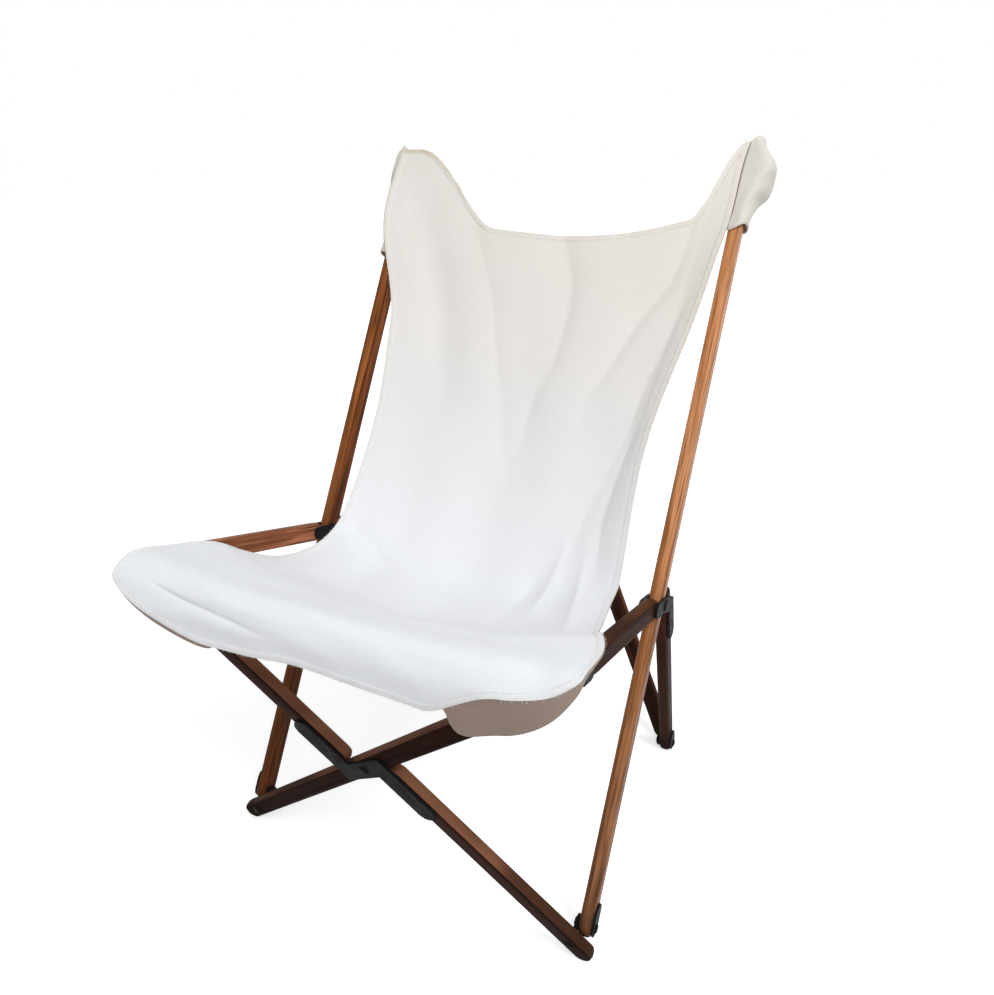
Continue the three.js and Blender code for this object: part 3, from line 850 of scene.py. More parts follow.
@dataclass(frozen=True)
class Crease:
    """A crease along a few places on the sling, given as (stations from the top, share of the half width).

    Its height falls away over one distance on its left and another on its right; a sharp one has a fold line
    along it, a little round.
    """

    line: tuple[Span, ...]
    height: float
    left: float
    right: float
    sharp: bool = True
    roundness: float = 0.002

    def relief(self, here: Array) -> Array:
        """Finds its height at places on the cloth.

        Args:
            here: The places, laid out flat in metres.

        Returns:
            The heights.
        """
        stops = np.array([Sling.laid_flat(np.array(k), np.array(t)) for k, t in self.line])
        steps = np.linalg.norm(np.diff(stops, axis=0), axis=1)
        best = np.full(here.shape[:-1], np.inf)
        side, share = np.zeros(best.shape), np.zeros(best.shape)
        for n, (a, b) in enumerate(zip(stops[:-1], stops[1:])):
            k = np.clip(((here - a) @ (b - a)) / steps[n] ** 2, 0, 1)
            off = here - (a + k[..., None] * (b - a))
            far = np.linalg.norm(off, axis=-1)
            near = far < best
            best = np.where(near, far, best)
            side = np.where(near, np.where(off[..., 1] > 0, self.right, self.left), side)
            share = np.where(near, (steps[:n].sum() + k * steps[n]) / steps.sum(), share)
        reach = np.sqrt(best**2 + self.roundness**2) / side if self.sharp else (best / side) ** 2
        return self.height * np.exp(-reach) * np.sin(np.pi * (0.06 + 0.88 * share)) ** 0.6


@dataclass
class Sling:
    """The canvas sling: a back panel and a seat panel that meet at the bight.

    Lengths are in metres. A pair is for the left and the right, or holds the ends of a span. Spans, and the
    places of the front edge, are in stations of the hem; ends and rounding are shares across.
    """

    BIGHT = 4.4
    SEAM_RISE = 0.35
    WRAP_SPAN = (-0.25, 1.95)
    TUCK_SPAN = (-0.9, 0.9)
    WAIST_SPAN = (1.4, 4.3)
    LOBE_SPAN = (6.6, 10.6)
    LIFT_SPAN = (6.2, 10.4)
    SAG_SPAN = (4.4, 7.6)
    TINGE_SPAN = (7.6, 11.6)
    WARM_SHADE_SPAN = (0.8, 4.6)
    BACK_PITCH = 0.165
    SEAT_PITCH = 0.066
    HALF_WIDTH = 0.26

    thick: float = 0.0016
    hem_thick: float = 0.0032
    hem_width: float = 0.009
    hem_step: float = 0.0015
    hang_top: float = 0.006
    hang_seat: float = 0.050
    hang_front: float = 0.018
    fold: float = 0.002
    wrap: float = 0.029
    wrap_lift: float = 0.008
    sag: float = 0.010
    tuck: float = 0.017
    lobe: float = 0.019
    lobe_lift: float = 0.009
    waist: float = 0.015
    bight: float = BIGHT / Hem.LAST
    lap: float = 1.1 / Hem.LAST
    lap_drop: float = 0.0024
    lap_rows: int = 24
    top_dip: float = 0.92 / Hem.LAST
    top_low: float = 0.18
    top_bows: Span = (0.18, 0.485)
    top_ends: tuple[Span, Span] = ((0.36, 0.88), (0.79, 0.985))
    front: float = 12.78
    lobes: Span = (12.95, 11.5)
    lobe_ends: tuple[Span, Span] = ((0.1, 0.4), (0.45, 0.75))
    rounding: Span = (0.55, 0.7)
    corners: Span = (11.1, 10.1)
    columns: int = 140
    rows: int = 130
    crowding: float = 1.35
    keep: float = 0.359
    creases: tuple[Crease, ...] = (
        Crease(
            ((0.80, 0.06), (1.37, 0.20), (1.70, 0.21), (2.20, 0.18), (2.44, 0.10), (2.95, 0.08)),
            -0.0056, 0.026, 0.011,
        ),
        Crease(
            ((0.80, -0.50), (1.61, -0.30), (2.16, -0.21), (2.80, -0.09), (3.25, 0.02)),
            -0.0042, 0.030, 0.013,
        ),
        Crease(((0.95, 0.82), (1.35, 0.79), (1.72, 0.66), (2.12, 0.57), (2.45, 0.48)), -0.0066, 0.030, 0.012),
        Crease(
            (
                (0.70, 1.00), (1.68, 0.90), (2.20, 0.84), (2.73, 0.81), (3.15, 0.73), (3.47, 0.64),
                (3.95, 0.58),
            ),
            -0.0095, 0.080, 0.030,
        ),
        Crease(((2.70, 0.86), (3.47, 0.77), (3.85, 0.82)), -0.0065, 0.016, 0.016),
        Crease(((0.40, -0.86), (1.50, -0.70), (2.60, -0.55)), -0.0055, 0.030, 0.030, False),
        Crease(((3.70, 0.57), (4.40, 0.55), (5.40, 0.54)), 0.0075, 0.012, 0.014),
        Crease(((3.80, 0.73), (4.80, 0.78), (6.50, 0.84)), 0.0062, 0.012, 0.014),
        Crease(((4.10, 0.46), (5.30, 0.40)), -0.0048, 0.018, 0.014),
        Crease(((3.90, -0.95), (4.90, -0.55)), -0.0060, 0.016, 0.016),
        Crease(((4.60, -0.96), (5.40, -0.60)), 0.0035, 0.014, 0.014, False),
        Crease(((10.90, -0.82), (11.42, -0.65), (11.95, -0.28)), -0.0060, 0.014, 0.010),
        Crease(((10.20, -0.70), (11.00, -0.40)), 0.0030, 0.020, 0.020, False),
        Crease(((10.70, 0.90), (9.60, 0.84), (8.40, 0.62)), -0.0035, 0.024, 0.020, False),
    )
    hem: Hem = field(default_factory=lambda: Hem(SIZES))

    def hang(self, s: Array) -> Array:
        """Finds how far the middle hangs behind and below the hem.

        Args:
            s: Shares along the hem from the top.

        Returns:
            The distances.
        """
        down = lerp(self.hang_top, self.hang_seat, s / self.bight)
        out = lerp(self.hang_seat, self.hang_front, smoothstep(s, self.bight, 0.8))
        return np.where(s < self.bight, down, out)

    @staticmethod
    def hump(k: Array, span: Span) -> Array:
        """Returns a smooth hump between two stations."""
        start, end = span
        return np.where((k > start) & (k < end), np.sin(np.pi * (k - start) / (end - start)) ** 2, 0.0)

    def wander(self, k: Array, t: Array) -> tuple[Array, Array]:
        """Finds how far each hem leaves the common line.

        Args:
            k: Stations from the top.
            t: Shares across.

        Returns:
            The distances outward, and forward or up.
        """
        top = self.hump(k, self.WRAP_SPAN)
        right = self.lobe * self.hump(k, self.LOBE_SPAN) - self.waist * self.hump(k, self.WAIST_SPAN)
        right = right - self.tuck * self.hump(k, self.TUCK_SPAN)
        out = np.where(t < 0, -self.wrap * top, right)
        left_lift = self.wrap_lift * top - self.sag * self.hump(k, self.SAG_SPAN)
        lift = np.where(t < 0, left_lift, self.lobe_lift * self.hump(k, self.LIFT_SPAN))
        return out * t**4, lift * t**4

    def surface(self, s: Number, t: Number) -> Array:
        """Finds points on the plain sling.

        Args:
            s: Shares along the hem from the top.
            t: Shares across, from -1 on the left hem to 1 on the right one.

        Returns:
            The points, in the model's frame.
        """
        s, t = np.broadcast_arrays(np.asarray(s, float), np.asarray(t, float))
        p, d = self.hem.point(s), self.hem.tangent(s)
        back = unit(np.stack([-d[..., 2], d[..., 1]], -1))
        room = 1 - t * t
        swing = np.sin(np.pi * np.minimum(1, s / (2 * self.bight)))
        folds = self.fold * np.cos(3 * np.pi * t) * room * swing
        out, lift = self.wander(s * Hem.LAST, t)
        depth = self.hang(s) * room + folds - lift
        y = p[..., 1] + back[..., 0] * depth + SIZES.shift
        return np.stack([p[..., 0] * t + out, y, p[..., 2] + back[..., 1] * depth], -1)

    def top_edge(self, t: Array) -> Array:
        """Finds where the top edge lies on each column.

        Args:
            t: Shares across.

        Returns:
            Shares along the hem.
        """
        off = t - self.top_low
        left, right = (
            (1 - bow * off**2) * (1 - smoothstep(sign * t, *ends))
            for bow, ends, sign in zip(self.top_bows, self.top_ends, (-1, 1))
        )
        return self.top_dip * np.where(off < 0, left, right)

    def front_edge(self, t: Array) -> Array:
        """Finds where the front edge lies on each column, with its round corners.

        Args:
            t: Shares across.

        Returns:
            Shares along the hem.
        """
        left = lerp(self.front, self.lobes[0], smoothstep(-t, *self.lobe_ends[0]))
        right = lerp(self.front, self.lobes[1], smoothstep(t, *self.lobe_ends[1]))
        start = np.where(t < 0, *self.rounding)
        turn = (np.abs(t) - start) / (1 - start)
        corner = np.where(t < 0, *self.corners)
        straight = np.maximum(0, 1 - np.maximum(0, turn) ** 1.7) ** 0.7
        return lerp(corner, np.where(t < 0, left, right), straight) / Hem.LAST

    def seam(self, t: Array) -> Array:
        """Returns where the two panels meet on each column."""
        return self.bight + (self.SEAM_RISE / Hem.LAST) * t * t

    def column_shares(self, rows: int) -> Array:
        """Returns the columns' shares across, crowded towards the hems, for a number of rows."""
        u = np.linspace(-1, 1, self.columns + 1)
        return np.broadcast_to(np.sign(u) * (1 - (1 - np.abs(u)) ** 1.6), (rows + 1, self.columns + 1))

    @staticmethod
    def laid_flat(station: Array, t: Array) -> Array:
        """Finds places on the sling about as they lie flat; the stations are further apart on the back.

        Args:
            station: Stations from the top.
            t: Shares across.

        Returns:
            The places in metres.
        """
        back, bight = Sling.BACK_PITCH * station, Sling.BACK_PITCH * Sling.BIGHT
        along = np.where(station < Sling.BIGHT, back, bight + Sling.SEAT_PITCH * (station - Sling.BIGHT))
        return np.stack([along, Sling.HALF_WIDTH * t], -1)

    def relief(self, s: Array, t: Array) -> Array:
        """Finds the height of creases and soft unevenness above the plain sling.

        Args:
            s: Shares along the hem.
            t: Shares across.

        Returns:
            The heights, which fade at the hems.
        """
        k = s * Hem.LAST
        total = 0.0011 * np.sin(2.1 * k + 3.7 * t + 0.6) * np.sin(4.3 * t - 0.7 * k + 1.9)
        total = total + 0.0007 * np.sin(4.7 * k - 6.1 * t + 2.2) * np.cos(7.9 * t + 1.1 * k)
        here = self.laid_flat(k, t)
        total = total + sum(crease.relief(here) for crease in self.creases)
        return total * np.minimum(1, (1 - np.abs(t)) / 0.12)

    def grid(self, s: Array, t: Array, far_row: int) -> Cloth:
        """Makes a panel's cloth.

        Args:
            s: Shares along the hem, by row and column.
            t: Shares across, by row and column.
            far_row: The row on the outer edge, first or last.

        Returns:
            The cloth.
        """
        plain = Cloth(self.surface(s, t), s, s)
        points = plain.points - plain.normals() * self.relief(s, t)[..., None]
        left, down = run_length(points, 1), run_length(points, 0)
        inset = np.minimum(left, left[:, -1:] - left)
        inset = np.minimum(inset, np.abs(down - down[far_row]))
        edge = 1 - smoothstep(inset, self.hem_width - self.hem_step, self.hem_width)
        thick = self.thick + (self.hem_thick - self.thick) * edge
        station = s * Hem.LAST
        if far_row == 0:
            tinge = 0.85 * smoothstep(-t, 0.5, 0.62) * (1 - smoothstep(down, 0.003, 0.009))
        else:
            lobe = smoothstep(-t, 0.8, 0.95) * self.hump(station, self.TINGE_SPAN)
            tinge = 0.7 * lobe * (1 - smoothstep(inset, 0.002, 0.007))
        # Painted warm shade: the back is warmer and darker towards its top and plain at the bight, so the
        # seat stays whiter
        age = (1 - smoothstep(station, *self.WARM_SHADE_SPAN)) * (0.9 + 0.1 * t)
        return Cloth(points, inset, thick, tinge, age, (len(s) - 1 if far_row == 0 else 0,))

    def back_cloth(self) -> Cloth:
        """Returns the back panel, from the top edge to the bight."""
        t, v = self.column_shares(self.rows), np.linspace(0, 1, self.rows + 1)[:, None]
        return self.grid(lerp(self.top_edge(t), self.seam(t), v**self.crowding), t, 0)

    def seat_cloth(self) -> Cloth:
        """Returns the seat panel, from the bight to the front edge."""
        t, v = self.column_shares(self.rows), np.linspace(0, 1, self.rows + 1)[:, None]
        return self.grid(lerp(self.seam(t), self.front_edge(t), 1 - (1 - v) ** self.crowding), t, -1)

    def lap_cloth(self) -> Cloth:
        """Makes the back panel's lap, which runs on under the seat panel.

        Returns:
            The cloth.
        """
        t = self.column_shares(self.lap_rows) * 0.985
        seam = self.seam(t)
        v = np.linspace(0, 1, self.lap_rows + 1)[:, None]
        s = lerp(seam - self.SEAM_RISE / Hem.LAST, seam + self.lap, v)
        plain = Cloth(self.surface(s, t), s, s)
        points = plain.points + plain.normals() * (self.lap_drop - self.relief(s, t))[..., None]
        return Cloth(points, np.full(s.shape, 0.05), np.full(s.shape, self.thick))


class Repeats:
    """Geometry Nodes trees for what repeats: stitches, frayed ends and rivet heads."""

    def __init__(self) -> None:
        """Builds each tree once."""
        self.stitches = self.stitch_tree()
        self.fray = self.fray_tree()
        self.rivets = self.rivet_tree()

    @staticmethod
    def start(name: str, **sizes: float | int) -> tuple[Tree, bpy.types.NodeOutputs]:
        """Starts a geometry tree with a geometry, the named sizes and a material as inputs.

        Args:
            name: The tree's name.
            sizes: Default of each size; a whole number makes a whole-number socket.

        Returns:
            The tree and its inputs, by name.
        """
        tree = Tree(bpy.data.node_groups.new(name, "GeometryNodeTree"))
        tree.socket("Geometry", "NodeSocketGeometry")
        for label, value in sizes.items():
            tree.socket(label, "NodeSocketInt" if isinstance(value, int) else "NodeSocketFloat", value=value)
        tree.socket("Material", "NodeSocketMaterial")
        tree.socket("Geometry", "NodeSocketGeometry", out=True)
        return tree, tree.add("NodeGroupInput").outputs

    @staticmethod
    def end(tree: Tree, given: bpy.types.NodeOutputs, **placing: Socket | float) -> NodeTree:
        """Puts a shape on points and ends a tree in Realize Instances and Set Material.

        Args:
            tree: The tree.
            given: Its inputs.
            placing: The points, the shape and its rotation and scale.

        Returns:
            The node tree.
        """
        placed = tree.add("GeometryNodeInstanceOnPoints", placing)
        real = tree.add("GeometryNodeRealizeInstances", {0: placed.outputs[0]})
        dressing = {"Geometry": real.outputs[0], "Material": given["Material"]}
        dressed = tree.add("GeometryNodeSetMaterial", dressing)
        tree.add("NodeGroupOutput", {0: dressed.outputs[0]})
        return tree.tree

    @staticmethod
    def spaced(tree: Tree, given: bpy.types.NodeOutputs) -> Socket:
        """Lays points at even steps along the given line.

        Args:
            tree: The tree.
            given: Its inputs.

        Returns:
            The points.
        """
        line = {"Curve": tree.add("GeometryNodeMeshToCurve", {0: given["Geometry"]}).outputs[0]}
        steps = tree.add("GeometryNodeResampleCurve", {**line, "Length": given["Spacing"]}, mode="LENGTH")
        return steps.outputs[0]

    @staticmethod
    def ball(tree: Tree, segments: int, rings: int, radius: float, size: tuple[Socket, ...]) -> Socket:
        """Makes a ball that is stretched along each axis.

        Args:
            tree: The tree.
            segments: Its faces round.
            rings: Its faces from pole to pole.
            radius: Its radius before it is stretched.
            size: Its scale along each axis.

        Returns:
            The ball.
        """
        round_ball = {"Segments": segments, "Rings": rings, "Radius": radius}
        ball = tree.add("GeometryNodeMeshUVSphere", round_ball).outputs[0]
        scale = tree.add("ShaderNodeCombineXYZ", dict(enumerate(size))).outputs[0]
        return tree.add("GeometryNodeTransform", {"Geometry": ball, "Scale": scale}).outputs[0]

    @staticmethod
    def aimed(tree: Tree, vector: Socket, axis: str) -> Socket:
        """Returns the rotation that points an axis along a vector."""
        return tree.add("FunctionNodeAlignRotationToVector", {"Vector": vector}, axis=axis).outputs[0]

    @staticmethod
    def facing(tree: Tree) -> Socket:
        """Returns the direction that was kept with each point."""
        kept = {"Name": "facing"}
        return tree.add("GeometryNodeInputNamedAttribute", kept, data_type="FLOAT_VECTOR").outputs[0]

    @staticmethod
    def vary(tree: Tree, given: bpy.types.NodeOutputs, low: float, high: float) -> Socket:
        """Returns a random number for each point."""
        values = {2: low, 3: high, "Seed": given["Seed"]}
        return tree.add("FunctionNodeRandomValue", values, data_type="FLOAT").outputs[1]

    def stitch_tree(self) -> NodeTree:
        """Makes the tree that lays stitches along a line.

        Returns:
            The node tree.
        """
        tree, given = self.start("hem_stitches", Spacing=0.0042, Length=0.0030, Radius=0.00042, Seed=7)
        wide = tree.math("MULTIPLY", given["Radius"], 2.0)
        return self.end(
            tree,
            given,
            Points=self.spaced(tree, given),
            Instance=self.ball(tree, 6, 4, 0.5, (given["Length"], wide, wide)),
            Rotation=self.aimed(tree, tree.add("GeometryNodeInputTangent").outputs[0], "X"),
            Scale=self.vary(tree, given, 0.82, 1.08),
        )

    def fray_tree(self) -> NodeTree:
        """Makes the tree that sets short curled thread ends along an edge, each pointing out of it.

        Returns:
            The node tree.
        """
        tree, given = self.start("frayed_ends", Spacing=0.0011, Length=0.0042, Radius=0.00016, Seed=11)
        curl = {"Start": (0.0, 0.0, 0.0), "Middle": (0.55, 0.35, 0.0), "End": (1.0, -0.1, 0.12)}
        bend = tree.add("GeometryNodeCurveQuadraticBezier", {"Resolution": 3, **curl}).outputs[0]
        slim = {"Resolution": 3, "Radius": tree.math("DIVIDE", given["Radius"], given["Length"])}
        ring = tree.add("GeometryNodeCurvePrimitiveCircle", slim, mode="RADIUS").outputs[0]
        tube = {"Curve": bend, "Profile Curve": ring, "Fill Caps": True}
        strand = tree.add("GeometryNodeCurveToMesh", tube)
        spread = {0: (-0.9, -0.9, -0.9), 1: (0.9, 0.9, 0.9), "Seed": given["Seed"]}
        jitter = tree.add("FunctionNodeRandomValue", spread, data_type="FLOAT_VECTOR").outputs[0]
        return self.end(
            tree,
            given,
            Points=self.spaced(tree, given),
            Instance=strand.outputs[0],
            Rotation=self.aimed(tree, tree.vector("ADD", self.facing(tree), jitter), "X"),
            Scale=tree.math("MULTIPLY", self.vary(tree, given, 0.35, 1.0), given["Length"]),
        )

    def rivet_tree(self) -> NodeTree:
        """Makes the tree that puts domed rivet heads on points, each facing out of its strap.

        Returns:
            The node tree.
        """
        tree, given = self.start("rivet_heads", Radius=0.0034, Height=0.0014)
        return self.end(
            tree,
            given,
            Points=tree.add("GeometryNodeMeshToPoints", {0: given["Geometry"]}).outputs[0],
            Instance=self.ball(tree, 14, 8, 1.0, (given["Radius"], given["Radius"], given["Height"])),
            Rotation=self.aimed(tree, self.facing(tree), "Z"),
        )

    @staticmethod
    def run(
        name: str,
        tree: NodeTree,
        points: Array,
        values: dict,
        facing: Array | None = None,
        joined: bool = True,
    ) -> Object:
        """Runs a tree on a line or a set of points and keeps the result as a plain mesh.

        Args:
            name: The piece's name.
            tree: The tree.
            points: The line's points, or the places.
            values: Values for the tree's named inputs.
            facing: A direction for each point.
            joined: Whether the points make a line.

        Returns:
            The object.
        """
        mesh = bpy.data.meshes.new(name)
        pairs = [(k, k + 1) for k in range(len(points) - 1)] if joined else []
        mesh.from_pydata([tuple(p) for p in points], pairs, [])
        if facing is not None:
            kept = mesh.attributes.new("facing", "FLOAT_VECTOR", "POINT")
            kept.data.foreach_set("vector", np.asarray(facing, np.float32).ravel())
        made = linked(name, mesh)
        modifier = made.modifiers.new("repeat", "NODES")
        modifier.node_group = tree
        for item in tree.interface.items_tree:
            if item.item_type == "SOCKET" and item.in_out == "INPUT" and item.name in values:
                modifier[item.identifier] = values[item.name]
        bpy.context.view_layer.update()
        shown = made.evaluated_get(bpy.context.evaluated_depsgraph_get())
        plain = bpy.data.meshes.new_from_object(shown)
        made.modifiers.clear()
        made.data = plain
        bpy.data.meshes.remove(mesh)
        plain.name = name
        plain.polygons.foreach_set("use_smooth", [True] * len(plain.polygons))
        return made


# Sub-assemblies


@dataclass(frozen=True)
class Cross:
    """One cross of a long bar and a split bar, in its own plane."""

    low: Span
    high: Span
    pivot_side: int

    @classmethod
    def front(cls) -> "Cross":
        """Returns the front cross."""
        return cls(tuple(SIZES.front_foot), tuple(SIZES.front_tip), -1)

    @classmethod
    def rear(cls) -> "Cross":
        """Returns the rear cross."""
        return cls(tuple(SIZES.rear_foot), tuple(SIZES.top_tip), 1)

    @property
    def up(self) -> Array:
        """Returns the direction up the cross."""
        d = unit(np.array(self.high) - np.array(self.low))
        return np.array([0.0, d[0], d[1]])

    @property
    def forward(self) -> Array:
        """Returns the direction out of the cross's front face."""
        return np.array([0.0, -self.up[2], self.up[1]])

    @property
    def middle(self) -> Array:
        """Returns the crossing."""
        m = (np.array(self.low) + np.array(self.high)) / 2
        return np.array([0.0, m[0] + SIZES.shift, m[1]]) - self.pivot_side * SIZES.stand_off * self.forward

    @property
    def corner(self) -> Array:
        """Returns the upper corner of the split bar, as (across, up)."""
        across = SIZES.plane - SIZES.bar_thick / 2 - SIZES.gap - SIZES.eye_thick / 2
        return np.array([-across, float(np.linalg.norm(np.array(self.high) - np.array(self.low))) / 2])

    def inward(self) -> tuple[Array, float]:
        """Finds the upper half of the split bar, which is cranked round the crossing.

        Returns:
            Its direction from its upper corner, as (across, up), and its length.
        """
        reach = float(np.linalg.norm(self.corner))
        toward = turned(-self.corner / reach, -math.asin(SIZES.crank / reach))
        return toward, math.sqrt(reach**2 - SIZES.crank**2)

    def world(self, flat: Array, forward: float) -> Array:
        """Returns a point of the cross's plane in the model's frame."""
        return self.middle + np.array([flat[0], 0, 0]) + self.up * flat[1] + self.forward * forward

    def along_long(self) -> Array:
        """Returns the long bar's direction."""
        return unit(np.array([-self.corner[0], 0, 0]) + self.up * self.corner[1])

    def along_half(self) -> Array:
        """Returns the direction of the split bar's halves."""
        d = self.inward()[0]
        return unit(np.array([d[0], 0, 0]) + self.up * d[1])


@dataclass
class TimberFrame:
    """The bars and iron fittings, which stay as their CAD nodes and get their finishes."""

    # Painted light and shade: lit and shaded copies of one timber, light where a face meets the light, dark
    # under the seat and behind
    SIDE_BARS = {
        Side.LEFT: {
            "light": (0.44, 0.125, 0.030), "dark": (0.13, 0.036, 0.011),
            "shade_top": 0.75, "grime": 0.85, "foot_top": 0.08, "gloss": 0.04,
        },
        Side.RIGHT: {
            "light": (0.74, 0.33, 0.15), "dark": (0.25, 0.09, 0.034), "shade_top": 0.5, "foot_top": 0.085,
        },
    }
    RAILS = {
        Side.LEFT: {"light": (0.50, 0.185, 0.085), "dark": (0.20, 0.066, 0.030), "lit_edge_wear": 0.25, "gloss": 0.03},
        Side.RIGHT: {
            "light": (0.048, 0.016, 0.010), "dark": (0.015, 0.006, 0.005), "lit_edge_wear": 0.15, "gloss": 0.004,
        },
    }
    LEG = {"light": (0.034, 0.014, 0.010), "dark": (0.011, 0.006, 0.005), "lit_edge_wear": 0.06, "gloss": 0.012}
    FRONT_LONG = {
        "light": (0.024, 0.010, 0.008), "dark": (0.008, 0.004, 0.004), "worn": (0.30, 0.13, 0.075),
        "lit_edge_wear": 0.45, "gloss": 0.004,
    }
    FRONT_HALF = {
        "light": (0.045, 0.016, 0.010), "dark": (0.013, 0.006, 0.005), "worn": (0.40, 0.165, 0.088),
        "lit_edge_wear": 0.66, "gloss": 0.012,
    }
    REAR = {"light": (0.060, 0.023, 0.014), "dark": (0.018, 0.008, 0.006), "lit_edge_wear": 0.14, "gloss": 0.015}

    effects: Effects
    iron: Material

    def timbers(self) -> dict[str, Timber]:
        """Lists the bars' finishes, each with its own stretch of grain and its own painted light and shade.

        Returns:
            The finish of each bar's node.
        """
        outward = (1, 0, 0)
        up, out, down = ((0, *d) for d in (SIZES.bar_up, SIZES.rail_out, SIZES.leg[1]))
        rows = []
        for n, side in enumerate(Side):
            rows.append((f"{side.label}_side_bar", up, outward, self.SIDE_BARS[side], 0.3 + 0.9 * n))
            rows.append((f"{side.label}_seat_rail", out, outward, self.RAILS[side], 2.1 + 0.7 * n))
            rows.append((f"{side.label}_rear_leg", down, outward, self.LEG, 4.2 + 0.8 * n))
        fronts = ("front", Cross.front(), self.FRONT_LONG, self.FRONT_HALF)
        for name, cross, whole, split in (fronts, ("rear", Cross.rear(), self.REAR, self.REAR)):
            face, half = tuple(cross.forward), tuple(cross.along_half())
            rows.append((f"{name}_cross_bar", tuple(cross.along_long()), face, whole, 6.3))
            rows.append((f"{name}_cross_upper", half, face, split, 7.7))
            rows.append((f"{name}_cross_lower", half, face, split, 9.1))
        return {
            node: Timber(f"timber_{node}", along, face, offset=offset, **looks)
            for node, along, face, looks, offset in rows
        }

    def dress(self) -> None:
        """Gives every bar its own timber and every fitting its iron."""
        bars = {node: finish.material(self.effects) for node, finish in self.timbers().items()}
        for node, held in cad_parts.items():
            if node.startswith("sling") or node.endswith("pocket"):
                continue
            material = bars.get(node, self.iron)
            for place in held.material_slots:
                place.material = material
            log.info("dressed %s with %s", node, material.name)


@dataclass
class Rivets:
    """Low rivet heads on the straps, one piece for each body; places are distances from the crossing."""

    rail_places: tuple[float, ...] = (0.037,)
    leg_places: tuple[float, ...] = (0.042, 0.072, 0.102)
    cross_places: tuple[float, ...] = (0.036, 0.062, 0.088)
    radius: float = 0.0028
    height: float = 0.0005

    def on_side(self, side: Side) -> tuple[Array, Array]:
        """Places the heads on both straps of one side.

        Args:
            side: The side.

        Returns:
            The places and their facings.
        """
        start, down = SIZES.leg
        flat = [SIZES.crossing + SIZES.rail_out * d for d in self.rail_places]
        flat += [start + down * d for d in self.leg_places]
        points, facing = [], []
        for out in (1, -1):
            for p in flat:
                points.append(SIZES.place(side.value * (SIZES.plane + out * SIZES.strap_face), p))
                facing.append((side.value * out, 0.0, 0.0))
        return np.array(points), np.array(facing)

    def on_cross(self, cross: Cross) -> tuple[Array, Array]:
        """Places the heads on one cross's strap, which lies on its outer face.

        Args:
            cross: The cross.

        Returns:
            The places and their facings.
        """
        inward, length = cross.inward()
        upper = [cross.corner + inward * (length - d) for d in self.cross_places]
        face = -cross.pivot_side * SIZES.strap_face
        points = [cross.world(end * p, face) for end in (1, -1) for p in upper]
        return np.array(points), np.array([-cross.pivot_side * cross.forward] * len(points))

    def build(self, repeats: Repeats, iron: Material) -> None:
        """Makes the rivet heads and rides them on their bodies.

        Args:
            repeats: The Geometry Nodes trees.
            iron: The heads' material.
        """
        jobs = {f"{side.label}_seat": self.on_side(side) for side in Side}
        jobs["front_split"] = self.on_cross(Cross.front())
        jobs["rear_split"] = self.on_cross(Cross.rear())
        values = {"Radius": self.radius, "Height": self.height, "Material": iron}
        for body, (points, facing) in jobs.items():
            made = repeats.run(f"rivets_{body}", repeats.rivets, points, values, facing, joined=False)
            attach(made, body)
            log.info("rivets on %s: %d", body, len(points))


@dataclass(frozen=True)
class TopPocket:
    """A top pocket, which is slack at its mouth, fills towards the tip and closes above its shoulder.

    Its depth, slack, rise and top are in metres, and the other lengths in bar widths. Levels are counted from
    the bar's tip.
    """

    depth: float
    slack: float
    taper: float
    closing: float
    rise: float = 0.0
    shoulder: float = 0.5
    top: float = 0.032
    mouth_deep: float = 0.6
    full_deep: float = 1.6
    deep_ends: Span = (-4.17, -0.667)
    deep_loss: float = 0.467
    deep_loss_ends: Span = (0.467, 1.2)
    full_swell: float = 0.8
    swell_end: float = -0.333
    swell_loss: float = 0.267
    swell_loss_ends: Span = (0.333, 1.2)
    closed_room: float = 0.1
    least_room: float = 0.22
    inner_room: float = 0.267
    inner_reach: float = 0.6
    inner_ends: Span = (-0.833, 0.167)
    steps: int = 48
    levels: int = 40
    lid_rows: int = 9

    def section(self, level: float, edge: float, front: float) -> Array:
        """Finds the pocket's section at a level.

        Args:
            level: The level, in bar widths from the tip.
            edge: The seam's distance from the chair's middle there, in bar widths.
            front: Its distance in front of the bar's middle, in bar widths.

        Returns:
            Points as (across, back), in metres.
        """
        b = SIZES.bar_width
        mouth, slack = -self.depth / b, self.slack / b
        start, full = self.deep_ends
        filled = smoothstep(level, max(mouth, start), full) ** self.taper
        deep = lerp(self.mouth_deep + slack / 3, self.full_deep, filled)
        deep = deep - self.deep_loss * smoothstep(level, *self.deep_loss_ends)
        swell = lerp(slack, self.full_swell, smoothstep(level, mouth, self.swell_end) ** self.taper)
        swell = swell - self.swell_loss * smoothstep(level, *self.swell_loss_ends)
        outer = (SIZES.plane + SIZES.bar_thick / 2) / b
        closed = self.closing * smoothstep(level, self.shoulder, self.top / b)
        wide = max(float(lerp(outer + swell, outer + self.closed_room, closed)), edge + self.least_room)
        inside = SIZES.plane / b - self.inner_room - self.inner_reach * smoothstep(level, *self.inner_ends)
        # From the seam round the front, the outer side and the back to the inner edge
        stops = [
            (edge + 0.045, -front), (wide - 0.2, -0.633), (wide + 0.033, -0.267),
            (wide + 0.033, deep * 0.5), (wide - 0.133, deep * 0.94), (inside, deep),
        ]
        return spline(np.array(stops, float), np.linspace(0, len(stops) - 1, self.steps + 1)) * b


@dataclass(frozen=True)
class FrontPocket:
    """A front pocket, a skirt under a front lobe; lengths in metres, the corner and start as shares."""

    length: float
    columns: int = 72
    rows: int = 14
    corner: float = 0.75
    start: float = 0.55
    side_run: float = 1.3
    top_drop: float = 0.0019
    tuck: float = 0.004
    lean: float = 0.006
    ripple: float = 0.0009


